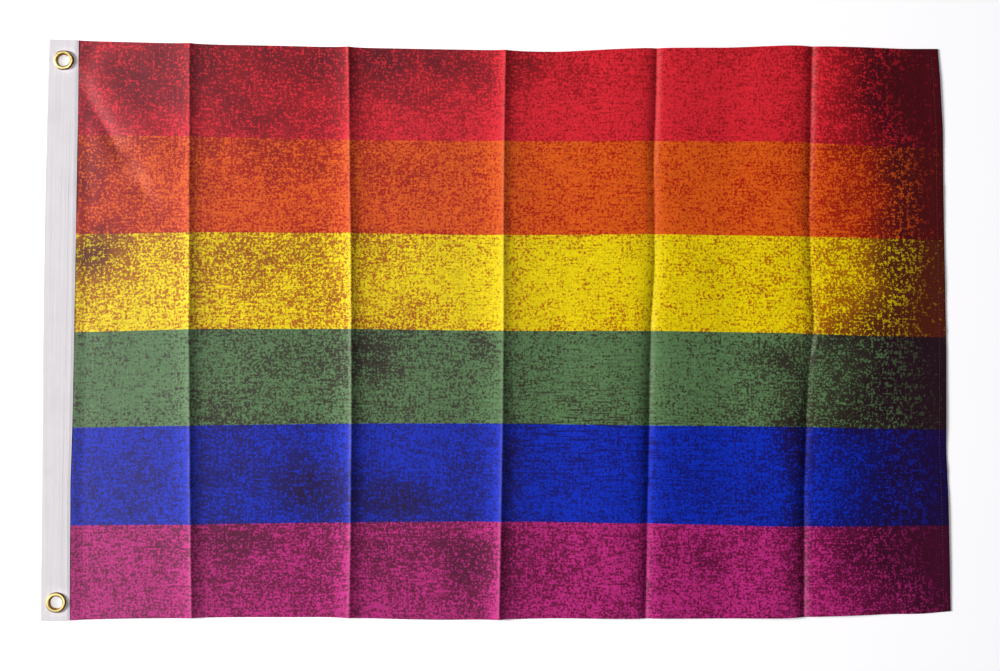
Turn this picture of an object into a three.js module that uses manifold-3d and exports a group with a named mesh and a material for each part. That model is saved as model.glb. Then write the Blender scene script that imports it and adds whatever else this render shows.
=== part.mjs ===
// Six-stripe flag laid out flat on a surface, after being stored folded.
// Units are millimetres. X runs along the fly (hoist at -X), Y runs up the hoist, Z is up.
// The origin is at the centre of the footprint, on the surface that the flag lies on.
import * as THREE from "three";
import { mergeVertices } from "three/addons/utils/BufferGeometryUtils.js";
import Module from "manifold-3d";

const wasm = await Module();
wasm.setup();

// ---- driving dimensions ----------------------------------------------------------------

const CLOTH_THICKNESS = 1.0;
const HEM_THICKNESS = 1.7;
const HEM_WIDTH = 9.0;
const HEM_STEP = 1.5;

// Outline, as [position along the edge, offset] pairs. The cloth has relaxed unevenly.
const TOP_EDGE = [
  [-468, 298.8], [-436, 297.9], [-380, 296.7], [-320, 295.4], [-225, 294.5], [-150, 293.0],
  [-25, 292.0], [30, 290.8], [60, 290.8], [110, 293.2], [165, 295.4], [240, 296.6],
  [305, 299.4], [380, 297.8], [430, 297.2], [468, 297.5],
];
const BOTTOM_EDGE = [
  [-468, -293.7], [-436, -293.3], [-380, -292.4], [-300, -292.0], [-170, -293.2], [-100, -296.2],
  [-60, -297.3], [60, -297.0], [160, -298.2], [220, -298.9], [285, -299.4], [335, -297.8],
  [400, -296.6], [435, -296.8], [468, -294.2],
];
const HOIST_EDGE = [
  [-300, -466.0], [-250, -466.3], [-150, -466.8], [-20, -467.8], [65, -468.1], [130, -468.0],
  [215, -467.3], [250, -466.9], [300, -466.2],
];
const SEAM = [
  [-300, -436.3], [-215, -437.3], [-155, -437.7], [-105, -436.6], [5, -436.0], [130, -435.7],
  [240, -435.3], [300, -435.7],
];
const FLY_EDGE = [
  [-300, 466.0], [-220, 465.9], [-170, 465.8], [-130, 464.6], [-95, 465.3], [-20, 466.9],
  [145, 467.1], [208, 468.1], [235, 466.8], [262, 466.0], [300, 463.9],
];

// Vertical storage folds, as [y, x] pairs from the bottom up. A ridge stands up from the
// surface, half of it a sharp crest and half a broad flank. A trough rests on the surface,
// and the cloth bows up on both sides of it.
const CREST_SHARE = 0.5;
const CREST_REACH = 24.0;
const TROUGH_REACH = 26.0;
const TROUGH_HOLD = 104.0;
const FOLDS = [
  {
    kind: "ridge",
    line: [[-300, -315.0], [-217, -316.8], [-108, -318.8], [0, -320.9], [120, -322.0], [300, -323.6]],
    rise: [[-300, 3.6], [-150, 4.2], [0, 3.8], [150, 3.3], [300, 3.3]],
    flanks: [95, 38],
  },
  {
    kind: "ridge",
    line: [[-300, -157.2], [-220, -156.1], [-110, -155.4], [0, -155.8], [120, -157.2], [300, -159.9]],
    rise: [[-300, 3.3], [-100, 4.3], [0, 3.8], [150, 3.2], [300, 3.6]],
    flanks: [40, 40],
  },
  {
    kind: "ridge",
    line: [[-300, -4.6], [-220, -2.8], [-110, -0.5], [0, 0.8], [120, 1.2], [230, 2.5], [300, 4.0]],
    rise: [[-300, 4.2], [-180, 4.3], [-60, 3.8], [60, 2.8], [150, 3.2], [300, 3.4]],
    flanks: [40, 40],
  },
  {
    kind: "trough",
    line: [[-300, 145.9], [-220, 147.9], [-110, 151.0], [-50, 152.6], [5, 154.4], [62, 158.8],
      [115, 159.2], [175, 158.6], [230, 161.2], [300, 163.1]],
    rise: [[-300, 2.9], [-60, 3.4], [40, 2.3], [140, 2.0], [220, 2.7], [300, 2.6]],
  },
  {
    kind: "trough",
    line: [[-300, 310.6], [-220, 311.9], [-165, 312.7], [-110, 315.5], [-52, 318.5], [5, 325.9],
      [60, 323.6], [118, 322.2], [230, 325.9], [300, 328.1]],
    rise: [[-300, 3.2], [-120, 3.4], [0, 2.0], [90, 1.9], [180, 2.6], [300, 2.6]],
  },
];

// Cross folds from the same storage, nearly pressed out: [y, rise] with most of it at the
// crossings with the vertical folds.
const CROSS_FOLDS = [[146, 0.7], [-2, 0.8], [-148, 0.9]];
const CROSS_REACH = 13.0;
const CROSS_SPREAD = 30.0;

// Drag line running down and outward from the hoist below the top eyelet. The line itself
// rests on the surface, and the cloth bows up a little on both sides of it.
const DRAG = { from: [-437, 258], to: [-368, 122], rise: 1.9, reach: 16.0, hold: 52.0 };

// Heading tape: two plies folded round the margin of the cloth.
const PLY = 0.8;
const GAP = 0.3;
const MARGIN_DEPTH = 9.0;
const MARGIN_FLOOR = PLY + GAP;
const HEADING_HEIGHT = MARGIN_FLOOR + CLOTH_THICKNESS + GAP + PLY;
const HOIST_FOLD_HEIGHT = 2.4;
const SEAM_RUN_OUT = 13.0;

// Rolled eyelets.
const EYELET_CENTRES = { eyelet_top: [-450.4, 276.8], eyelet_bottom: [-450.0, -275.2] };
const EYELET_BORE_R = 6.3;
const EYELET_BARREL_R = 6.9;
const EYELET_FLANGE_R = 10.3;
const EYELET_CLINCH_R = 9.1;
const PRESSED_TOP = 1.9;
const PRESSED_BOTTOM = 0.95;
const EYELET_SIDES = 40;

// ---- helpers ---------------------------------------------------------------------------

/** Straight-line reading of a table of [position, value] pairs, held at both ends. */
function read(table, at) {
  if (at <= table[0][0]) return table[0][1];
  for (let i = 1; i < table.length; i++) {
    const [x0, v0] = table[i - 1];
    const [x1, v1] = table[i];
    if (at <= x1) return v0 + ((v1 - v0) * (at - x0)) / (x1 - x0);
  }
  return table[table.length - 1][1];
}

/** Smooth step from 0 to 1. */
function ease(t) {
  const c = Math.min(1, Math.max(0, t));
  return c * c * (3 - 2 * c);
}

/** Height of cloth that rests on a line and bows up beside it, then settles again. */
function bowed(away, rise, reach, hold) {
  if (away < reach) return rise * (1 - (1 - away / reach) ** 3);
  return rise * (1 - ease((away - reach) / (hold - reach)));
}

/** Height that one vertical fold gives the underside of the cloth at a point. */
function foldLift(fold, x, y) {
  const offset = x - read(fold.line, y);
  const away = Math.abs(offset);
  const rise = read(fold.rise, y);
  if (fold.kind === "ridge") {
    const crest = Math.max(0, 1 - away / CREST_REACH) ** 3;
    const flank = Math.max(0, 1 - away / fold.flanks[offset < 0 ? 0 : 1]) ** 2;
    return rise * (CREST_SHARE * crest + (1 - CREST_SHARE) * flank);
  }
  return bowed(away, rise, TROUGH_REACH, TROUGH_HOLD);
}

/** Extra height of the faint cross folds. */
function crossLift(x, y) {
  let nearest = Infinity;
  for (const fold of FOLDS) nearest = Math.min(nearest, Math.abs(x - read(fold.line, y)));
  const strength = 0.3 + 0.7 * Math.exp(-((nearest / CROSS_SPREAD) ** 2));
  let lift = 0;
  for (const [level, rise] of CROSS_FOLDS) {
    const near = Math.max(0, 1 - Math.abs(y - level) / CROSS_REACH);
    lift += rise * strength * near * near;
  }
  return lift;
}

/** Height that the soft drag line below the top eyelet gives the cloth. */
function dragLift(x, y) {
  const [x0, y0] = DRAG.from;
  const [x1, y1] = DRAG.to;
  const length = Math.hypot(x1 - x0, y1 - y0);
  const along = ((x - x0) * (x1 - x0) + (y - y0) * (y1 - y0)) / length;
  const off = Math.abs((x - x0) * (y1 - y0) - (y - y0) * (x1 - x0)) / length;
  const ends = ease((along + 20) / 30) * ease((length - along) / 70);
  return ends * bowed(off, DRAG.rise, DRAG.reach, DRAG.hold);
}

/** Underside of the cloth above the surface. */
function clothFloor(x, y) {
  const seam = read(SEAM, y);
  const folds = Math.max(...FOLDS.map((fold) => foldLift(fold, x, y)));
  const free = ease((x - seam - 2) / 22);
  const lift = folds + crossLift(x, y) + dragLift(x, y);
  const hemmed = MARGIN_FLOOR * (1 - ease((x - seam) / SEAM_RUN_OUT));
  return hemmed + lift * free;
}

/** Turns a BufferGeometry into a manifold solid, sharing the vertices that coincide. */
function toSolid(geometry) {
  const bare = geometry.clone();
  for (const name of Object.keys(bare.attributes)) {
    if (name !== "position") bare.deleteAttribute(name);
  }
  const merged = mergeVertices(bare, 1e-4);
  return new wasm.Manifold(new wasm.Mesh({
    numProp: 3,
    vertProperties: new Float32Array(merged.attributes.position.array),
    triVerts: new Uint32Array(merged.index.array),
  }));
}

/** Turns a manifold solid back into a BufferGeometry. */
function toGeometry(solid) {
  const mesh = solid.getMesh();
  const geometry = new THREE.BufferGeometry();
  const triangles = new THREE.BufferAttribute(new Uint32Array(mesh.triVerts), 1);
  const points = new THREE.BufferAttribute(new Float32Array(mesh.vertProperties), 3);
  geometry.setAttribute("position", points);
  geometry.setIndex(triangles);
  geometry.computeVertexNormals();
  return geometry;
}

/** Closed solid of revolution about Z from a closed [radius, z] profile. */
function revolve(profile, sides) {
  const points = profile.map(([r, z]) => new THREE.Vector2(r, z));
  points.push(points[0].clone());
  const geometry = new THREE.LatheGeometry(points, sides);
  geometry.rotateX(Math.PI / 2);
  return geometry;
}

/** Solid plug about Z whose profile starts and ends on the axis. */
function plug(profile, sides) {
  const points = profile.map(([r, z]) => new THREE.Vector2(r, z));
  const geometry = new THREE.LatheGeometry(points, sides);
  geometry.rotateX(Math.PI / 2);
  return geometry;
}

// ---- cloth -----------------------------------------------------------------------------

/** Columns of the cloth grid at one height: x positions that follow the seam and folds. */
function columns(y) {
  const seam = read(SEAM, y);
  const lines = [seam, ...FOLDS.map((fold) => read(fold.line, y)), read(FLY_EDGE, y)];
  const xs = [seam - MARGIN_DEPTH, seam];
  for (const off of [6, 13, 22, 34, 47, 62, 80]) xs.push(seam + off);
  for (let k = 1; k <= 5; k++) {
    for (const off of [34, 16, 5, 0]) xs.push(lines[k] - off);
    for (const off of [5, 16]) xs.push(lines[k] + off);
    if (k < 5) {
      xs.push(lines[k] + 34);
      xs.push((lines[k] + lines[k + 1]) / 2);
    }
  }
  const fly = lines[6];
  for (const off of [34, 62]) xs.push(lines[5] + off);
  for (const off of [44, HEM_WIDTH + HEM_STEP, HEM_WIDTH, 0]) xs.push(fly - off);
  return xs;
}

/** Rows of the cloth grid as a share of the way up, from hem to hem. */
function rows() {
  const top = 295;
  const bottom = -295;
  const marks = [bottom, bottom + HEM_WIDTH, bottom + HEM_WIDTH + HEM_STEP];
  for (const y of [-255, -220, -185, -161, -148, -135, -110, -80, -48, -15, -2, 11]) marks.push(y);
  for (const y of [35, 62, 90, 115, 133, 146, 159, 178, 200, 225, 245, 265]) marks.push(y);
  marks.push(top - HEM_WIDTH - HEM_STEP, top - HEM_WIDTH, top);
  return marks;
}

/** Moves a nominal grid height onto the uneven top and bottom edges. */
function onOutline(x, y) {
  const upper = read(TOP_EDGE, x);
  const lower = read(BOTTOM_EDGE, x);
  const t = (y + 295) / 590;
  return y + (upper - 295) * ease((t - 0.55) / 0.4) + (lower + 295) * ease((0.45 - t) / 0.4);
}

/** Thickness of the cloth: doubled over at the three hems. */
function thickness(row, rowCount, column, columnCount) {
  const inHem = row <= 1 || row >= rowCount - 2 || column >= columnCount - 2;
  return inHem && column > 1 ? HEM_THICKNESS : CLOTH_THICKNESS;
}

/** The cloth as one closed sheet on its folds. */
function clothGeometry() {
  const marks = rows();
  const grid = marks.map((mark) => columns(mark).map((x) => {
    const y = onOutline(x, mark);
    return [x, y, clothFloor(x, y)];
  }));
  const nRows = grid.length;
  const nCols = grid[0].length;
  const points = [];
  for (const upper of [false, true]) {
    grid.forEach((line, r) => line.forEach(([x, y, z], c) => {
      points.push(x, y, upper ? z + thickness(r, nRows, c, nCols) : z);
    }));
  }
  const index = [];
  const id = (r, c, upper) => (upper ? nRows * nCols : 0) + r * nCols + c;
  const quad = (a, b, c, d) => index.push(a, b, c, a, c, d);
  for (let r = 0; r + 1 < nRows; r++) {
    for (let c = 0; c + 1 < nCols; c++) {
      quad(id(r, c, true), id(r, c + 1, true), id(r + 1, c + 1, true), id(r + 1, c, true));
      quad(id(r, c, false), id(r + 1, c, false), id(r + 1, c + 1, false), id(r, c + 1, false));
    }
  }
  const rim = [];
  for (let c = 0; c < nCols; c++) rim.push([0, c]);
  for (let r = 1; r < nRows; r++) rim.push([r, nCols - 1]);
  for (let c = nCols - 2; c >= 0; c--) rim.push([nRows - 1, c]);
  for (let r = nRows - 2; r >= 1; r--) rim.push([r, 0]);
  rim.forEach(([r, c], i) => {
    const [r1, c1] = rim[(i + 1) % rim.length];
    quad(id(r, c, false), id(r1, c1, false), id(r1, c1, true), id(r, c, true));
  });
  const geometry = new THREE.BufferGeometry();
  geometry.setAttribute("position", new THREE.Float32BufferAttribute(points, 3));
  geometry.setIndex(index);
  return geometry;
}

/** The cloth with its hoist margin punched clear of the two eyelets. */
function cloth() {
  let solid = toSolid(clothGeometry());
  for (const [x, y] of Object.values(EYELET_CENTRES)) {
    const punch = plug([[0, -1], [12.2, -1], [12.2, 8], [0, 8]], EYELET_SIDES);
    punch.translate(x, y, 0);
    solid = solid.subtract(toSolid(punch));
  }
  return toGeometry(solid);
}

// ---- heading ---------------------------------------------------------------------------

/** Closed strip along the hoist from a cross-section given at every height. */
function strip(levels, section) {
  const rings = levels.map((level) => section(level));
  const n = rings[0].length;
  const points = rings.flat(2);
  const index = [];
  for (let r = 0; r + 1 < rings.length; r++) {
    for (let i = 0; i < n; i++) {
      const j = (i + 1) % n;
      const [a, b, c, d] = [r * n + i, r * n + j, (r + 1) * n + j, (r + 1) * n + i];
      index.push(a, c, b, a, d, c);
    }
  }
  const first = rings[0].map(([x, , z]) => new THREE.Vector2(x, z));
  const last = (rings.length - 1) * n;
  for (const [a, b, c] of THREE.ShapeUtils.triangulateShape(first, [])) {
    index.push(a, b, c);
    index.push(last + a, last + c, last + b);
  }
  const geometry = new THREE.BufferGeometry();
  geometry.setAttribute("position", new THREE.Float32BufferAttribute(points, 3));
  geometry.setIndex(index);
  return geometry;
}

/** Outer section of the folded tape, with both ends following the flag's corners. */
function headingSection(level) {
  const hoist = read(HOIST_EDGE, level);
  const seam = read(SEAM, level);
  const profile = [
    [hoist + 0.9, 0], [seam, 0], [seam, HEADING_HEIGHT], [seam - MARGIN_DEPTH, HEADING_HEIGHT],
    [hoist + 12, HOIST_FOLD_HEIGHT + 0.2], [hoist + 1.1, HOIST_FOLD_HEIGHT],
    [hoist + 0.2, HOIST_FOLD_HEIGHT * 0.7], [hoist, HOIST_FOLD_HEIGHT * 0.45], [hoist + 0.2, 0.4],
  ];
  return profile.map(([x, z]) => [x, onOutline(x, level), z]);
}

/** Room between the plies for the cloth's margin. */
function pocketSection(level) {
  const seam = read(SEAM, level);
  const back = seam - MARGIN_DEPTH - 0.4;
  const front = seam + 2;
  return [[back, PLY], [front, PLY], [front, HEADING_HEIGHT - PLY], [back, HEADING_HEIGHT - PLY]]
    .map(([x, z]) => [x, level, z]);
}

/** The folded tape, split round the margin, pressed and punched at the eyelets. */
function heading() {
  const levels = [-295, -288, -262, -215, -155, -105, -50, 5, 65, 130, 190, 240, 264, 289, 295];
  let room = toSolid(strip([-320, -215, -155, -105, 5, 130, 240, 320], pocketSection));
  const presses = [];
  for (const [x, y] of Object.values(EYELET_CENTRES)) {
    const keep = plug([[0, -1], [11.6, -1], [11.6, 8], [0, 8]], EYELET_SIDES);
    keep.translate(x, y, 0);
    room = room.subtract(toSolid(keep));
    const dimple = [[0, PRESSED_TOP], [10.8, PRESSED_TOP], [12.6, 3.3], [12.6, 8], [0, 8]];
    const recess = [[0, -1], [10.4, -1], [10.2, 0], [9.6, PRESSED_BOTTOM], [0, PRESSED_BOTTOM]];
    const above = plug(dimple, EYELET_SIDES);
    const below = plug(recess, EYELET_SIDES);
    const bore = plug([[0, -2], [7.2, -2], [7.2, 9], [0, 9]], EYELET_SIDES);
    for (const cut of [above, below, bore]) {
      cut.translate(x, y, 0);
      presses.push(toSolid(cut));
    }
  }
  let solid = toSolid(strip(levels, headingSection)).subtract(room);
  for (const cut of presses) solid = solid.subtract(cut);
  return toGeometry(solid);
}

// ---- eyelets ---------------------------------------------------------------------------

/** One rolled eyelet: crowned front flange, barrel, and clinched lip at the back. */
function eyelet([x, y]) {
  const under = PRESSED_TOP + GAP;
  const lip = PRESSED_BOTTOM - GAP;
  const profile = [
    [EYELET_BORE_R, 0.5], [EYELET_BORE_R + 0.4, 0.05], [EYELET_CLINCH_R - 0.4, 0.05],
    [EYELET_CLINCH_R, 0.35], [EYELET_CLINCH_R - 0.3, lip], [EYELET_BARREL_R, lip],
    [EYELET_BARREL_R, under], [EYELET_FLANGE_R - 0.5, under], [EYELET_FLANGE_R, under + 0.5],
    [EYELET_FLANGE_R - 0.2, under + 1.1], [EYELET_FLANGE_R - 1.2, under + 1.8],
    [EYELET_BORE_R + 1.6, under + 1.8], [EYELET_BORE_R + 0.6, under + 1.3],
    [EYELET_BORE_R, under + 0.4],
  ];
  const geometry = revolve(profile, EYELET_SIDES);
  geometry.translate(x, y, 0);
  return toGeometry(toSolid(geometry));
}

// ---- assembly --------------------------------------------------------------------------

const flag = new THREE.Group();
flag.name = "flag";

const clothMesh = new THREE.Mesh(
  cloth(),
  new THREE.MeshStandardMaterial({ color: 0xb3242f, roughness: 0.75, metalness: 0 }),
);
clothMesh.name = "flag_cloth";
flag.add(clothMesh);

const headingMesh = new THREE.Mesh(
  heading(),
  new THREE.MeshStandardMaterial({ color: 0xe0dce2, roughness: 0.85, metalness: 0 }),
);
headingMesh.name = "heading";
flag.add(headingMesh);

for (const [name, centre] of Object.entries(EYELET_CENTRES)) {
  const ring = new THREE.Mesh(
    eyelet(centre),
    new THREE.MeshStandardMaterial({ color: 0xc9a14a, roughness: 0.3, metalness: 1 }),
  );
  ring.name = name;
  flag.add(ring);
}

export default flag;
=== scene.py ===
"""Dresses the flat-laid striped flag: printed cloth, hoist tape, eyelets and stitching.

Sizes in the classes are in millimetres, as a maker would mark them. Meshes are in metres.
X runs along the fly, Y runs up the hoist and Z is up, as in the solids they stand on.
"""

import logging
import math
from dataclasses import dataclass
from enum import Enum
from functools import lru_cache
from typing import Any, Sequence

import bmesh
import bpy
import numpy as np
from mathutils import Euler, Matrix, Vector


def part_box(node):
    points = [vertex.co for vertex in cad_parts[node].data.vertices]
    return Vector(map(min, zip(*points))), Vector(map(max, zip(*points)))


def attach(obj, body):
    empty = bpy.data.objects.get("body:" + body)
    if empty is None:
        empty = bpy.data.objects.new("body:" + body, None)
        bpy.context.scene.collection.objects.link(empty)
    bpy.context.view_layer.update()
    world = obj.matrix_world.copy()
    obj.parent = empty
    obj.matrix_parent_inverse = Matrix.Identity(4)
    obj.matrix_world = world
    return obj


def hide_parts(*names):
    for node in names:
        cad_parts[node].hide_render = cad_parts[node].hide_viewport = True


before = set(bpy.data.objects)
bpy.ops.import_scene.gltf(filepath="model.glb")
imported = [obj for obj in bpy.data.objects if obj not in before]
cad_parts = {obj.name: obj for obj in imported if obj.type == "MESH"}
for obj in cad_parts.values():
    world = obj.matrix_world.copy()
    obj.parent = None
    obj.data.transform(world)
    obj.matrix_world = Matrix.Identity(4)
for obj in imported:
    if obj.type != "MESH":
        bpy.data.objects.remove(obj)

LOG = logging.getLogger("flag")
MM = 0.001
HALF_HEIGHT = 295.0  # nominal height of the top edge over the middle, in millimetres

Array = np.ndarray
Table = tuple[tuple[float, float], ...]
Rgb = tuple[float, float, float]
Spot = tuple[float, float]
Point = tuple[float, float, float]
Socket = bpy.types.NodeSocket
Piece = bpy.types.Object


# ---- reading tables -----------------------------------------------------------------


@lru_cache(maxsize=None)
def _softened(table: Table, over: float) -> tuple[Array, Array]:
    """Samples a table every millimetre and rounds its corners.

    Args:
        table: (position, value) pairs in rising order of position.
        over: distance over which each corner is rounded.

    Returns:
        The positions and the rounded values.
    """
    line = np.arange(table[0][0] - 40.0, table[-1][0] + 40.0, 1.0)
    values = np.interp(line, [p[0] for p in table], [p[1] for p in table])
    reach = int(3 * over) + 1
    window = np.exp(-0.5 * (np.arange(-reach, reach + 1) / over) ** 2)
    padded = np.pad(values, reach, mode="edge")
    return line, np.convolve(padded, window / window.sum(), mode="valid")


def read(table: Table, at: Array | float, over: float = 6.0) -> Array:
    """Reads a table at some positions, with its corners rounded over a distance."""
    line, values = _softened(table, over)
    return np.interp(at, line, values)


def ease(t: Array | float) -> Array:
    """Smooth step from 0 to 1, held outside that."""
    c = np.clip(t, 0.0, 1.0)
    return c * c * (3.0 - 2.0 * c)


def bowed(away: Array, rise: Array | float, reach: Array | float, hold: float) -> Array:
    """Height of cloth that rests on a line, bows up to its rise within reach and settles by hold."""
    up = 1.0 - np.clip(1.0 - away / reach, 0.0, 1.0) ** 3
    return rise * up * (1.0 - ease((away - reach) / (hold - reach)))


def linear(red: int, green: int, blue: int) -> Rgb:
    """Turns a colour as it is mixed on a screen into light values.

    Args:
        red: 0 to 255.
        green: 0 to 255.
        blue: 0 to 255.

    Returns:
        The three linear values.
    """
    def one(level: int) -> float:
        """Light value of one level."""
        c = level / 255.0
        return c / 12.92 if c <= 0.04045 else ((c + 0.055) / 1.055) ** 2.4

    return one(red), one(green), one(blue)


# ---- the form in which the flag lies -------------------------------------------------


class FoldKind(Enum):
    """How a storage fold meets the surface."""

    RIDGE = "stands up"
    TROUGH = "rests"


@dataclass(frozen=True)
class Fold:
    """One vertical storage fold.

    Attributes:
        kind: whether it stands up or rests on the surface.
        line: x position for each y, from the bottom up.
        rise: height for each y.
        rub_and_sheen: how bare the yarn is along the fold and how strong the painted sheen on its lit side
            is, for each y.
        flanks: how far a ridge's broad flanks run to its left and right.
        shed_and_highlight: how much of the dark print has come off beside the fold, with the painted
            highlight on the flank that faces the side lamp.
        crest_share: share of a ridge's height that its narrow crest takes.
        crest_reach: how far the crest runs to the left and right.
        crest_round: rounding of the cloth over the line.
        bow_reach: how far from a trough the cloth has come up, left and right.
        bow_hold: how far from a trough it has settled again.
        far_share: height right of a trough, as a share of the left, for each y.
    """

    kind: FoldKind
    line: Table
    rise: Table
    rub_and_sheen: Table
    flanks: tuple[float, float] = (40.0, 40.0)
    shed_and_highlight: float = 0.7
    crest_share: float = 0.5
    crest_reach: tuple[float, float] = (32.0, 18.0)
    crest_round: float = 0.5
    bow_reach: tuple[float, float] = (21.0, 22.0)
    bow_hold: float = 104.0
    far_share: Table = ((-300, 0.62), (300, 0.62))

    def offset(self, x: Array, y: Array) -> Array:
        """Distance to the right of the fold line, for points at x, y."""
        return x - read(self.line, y)

    def lift(self, x: Array, y: Array) -> Array:
        """Height that the fold gives the cloth.

        Args:
            x: positions along the fly.
            y: positions up the hoist.

        Returns:
            The height of the underside of the cloth.
        """
        offset = self.offset(x, y)
        rise = read(self.rise, y, 20.0)
        away = np.sqrt(offset**2 + self.crest_round**2) - self.crest_round
        if self.kind is FoldKind.TROUGH:
            height = rise * np.where(offset < 0, 1.0, read(self.far_share, y, 12.0))
            return bowed(away, height, np.where(offset < 0, *self.bow_reach), self.bow_hold)
        flank = np.where(offset < 0, *self.flanks)
        crest = np.clip(1.0 - away / np.where(offset < 0, *self.crest_reach), 0.0, 1.0) ** 3
        broad = np.clip(1.0 - away / flank, 0.0, 1.0) ** 2
        return rise * (self.crest_share * crest + (1.0 - self.crest_share) * broad)

    def rubbed_and_lit(self, x: Array, y: Array) -> Array:
        """How far the dark print has come off on the side that faces up towards the side lamp, partly real
        rub and partly painted highlight.

        Args:
            x: positions along the fly.
            y: positions up the hoist.

        Returns:
            0 where the print is whole, 1 at the fold.
        """
        offset = self.offset(x, y)
        # the flank that faces the side lamp, left of a ridge and right of a trough, gets the painted
        # highlight
        if self.kind is FoldKind.RIDGE:
            beside = np.exp(-np.clip(-offset - 1.0, 0.0, None) / 5.0) * ease((1.2 - offset) / 1.6)
        else:
            beside = np.exp(-np.clip(offset - 2.0, 0.0, None) / 6.5) * ease((offset + 0.6) / 1.6)
        return self.shed_and_highlight * beside

    def paled_and_lit(self, x: Array, y: Array) -> Array:
        """Narrow line of bared yarn along the fold, with painted sheen on its lit side.

        Args:
            x: positions along the fly.
            y: positions up the hoist.

        Returns:
            0 off the line, up to 1 on its palest part.
        """
        # the line sits on the lit side, left of a ridge's crest and right of a trough, and is partly painted
        # sheen
        middle, width = (-1.2, 1.5) if self.kind is FoldKind.RIDGE else (2.6, 2.2)
        line = np.exp(-(((self.offset(x, y) - middle) / width) ** 2))
        return read(self.rub_and_sheen, y, 4.0) * line


@dataclass(frozen=True)
class Drag:
    """The soft drag line that runs down and outward from the hoist.

    Attributes:
        start: x and y where it leaves the seam.
        end: x and y where it runs out.
        rise: height beside the line.
        reach: how far off the line the cloth has come up, below and above it.
        hold: how far off it has settled again.
        rub_and_sheen: share of the dark print that has come off above the line, partly painted highlight on
            that lit flank.
        painted_sheen: strength of the painted sheen on the band above the line.
    """

    start: Spot = (-440.0, 260.0)
    end: Spot = (-347.0, 106.0)
    rise: float = 1.7
    reach: tuple[float, float] = (13.0, 26.0)
    hold: tuple[float, float] = (80.0, 60.0)
    rub_and_sheen: float = 0.45
    painted_sheen: float = 0.42

    def frame(self, x: Array, y: Array) -> tuple[Array, Array, float]:
        """Places points along and off the line.

        Args:
            x: positions along the fly.
            y: positions up the hoist.

        Returns:
            Distance along the line, distance to its upper right, and its length.
        """
        dx, dy = self.end[0] - self.start[0], self.end[1] - self.start[1]
        length = math.hypot(dx, dy)
        along = ((x - self.start[0]) * dx + (y - self.start[1]) * dy) / length
        off = ((y - self.start[1]) * dx - (x - self.start[0]) * dy) / length
        return along, off, length

    def ends(self, along: Array, length: float) -> Array:
        """Fades the line in at its start and out at its end."""
        return ease((along + 20.0) / 30.0) * ease((length - along) / 70.0)

    def lift(self, x: Array, y: Array) -> Array:
        """Height that the line gives the cloth.

        Args:
            x: positions along the fly.
            y: positions up the hoist.

        Returns:
            The height at each point.
        """
        along, off, length = self.frame(x, y)
        away = np.sqrt(off**2 + 4.0) - 2.0
        reach, hold = np.where(off < 0, *self.reach), np.where(off < 0, *self.hold)
        return self.ends(along, length) * bowed(away, self.rise, reach, hold)

    def rubbed_and_lit(self, x: Array, y: Array) -> Array:
        """Band with less dark print on the upper right of the line, the side lit by the side lamp: partly
        rub, partly painted highlight.

        Args:
            x: positions along the fly.
            y: positions up the hoist.

        Returns:
            Share of the print that has come off.
        """
        along, off, length = self.frame(x, y)
        band = np.exp(-np.clip(off - 2.0, 0.0, None) / 9.0) * ease((off + 1.0) / 3.0)
        return self.rub_and_sheen * band * self.ends(along, length)

    def paled_and_lit(self, x: Array, y: Array) -> Array:
        """Painted sheen on the upper right of the line, at points x, y."""
        along, off, length = self.frame(x, y)
        return self.painted_sheen * np.exp(-(((off - 7.0) / 6.5) ** 2)) * self.ends(along, length)


@dataclass(frozen=True)
class Pinch:
    """A short sharp crease, pinched in where folds cross.

    Attributes:
        start: x and y of one end.
        end: x and y of the other end.
        rise: height.
        reach: half width.
    """

    start: Spot
    end: Spot
    rise: float = 0.8
    reach: float = 4.0

    def lift(self, x: Array, y: Array) -> Array:
        """Height that the crease gives the cloth.

        Args:
            x: positions along the fly.
            y: positions up the hoist.

        Returns:
            The height at each point.
        """
        dx, dy = self.end[0] - self.start[0], self.end[1] - self.start[1]
        share = ((x - self.start[0]) * dx + (y - self.start[1]) * dy) / (dx * dx + dy * dy)
        held = np.clip(share, 0.0, 1.0)
        away = np.hypot(x - self.start[0] - held * dx, y - self.start[1] - held * dy)
        return self.rise * np.clip(1.0 - away / self.reach, 0.0, 1.0) ** 1.6


@dataclass(frozen=True)
class Stain:
    """One soft patch where the dark print lies thicker or thinner.

    Attributes:
        x: centre along the fly.
        y: centre up the hoist.
        rx: half width.
        ry: half height.
        amount: added to the share of cloth that the dark print covers.
    """

    x: float
    y: float
    rx: float
    ry: float
    amount: float

    def at(self, x: Array, y: Array) -> Array:
        """What the patch adds at points x, y."""
        return self.amount * np.exp(-(((x - self.x) / self.rx) ** 2) - ((y - self.y) / self.ry) ** 2)


def stained(*rows: tuple[float, float, float, float, float]) -> tuple[Stain, ...]:
    """Makes patches from rows of x, y, half width, half height and amount."""
    return tuple(Stain(*row) for row in rows)


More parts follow.
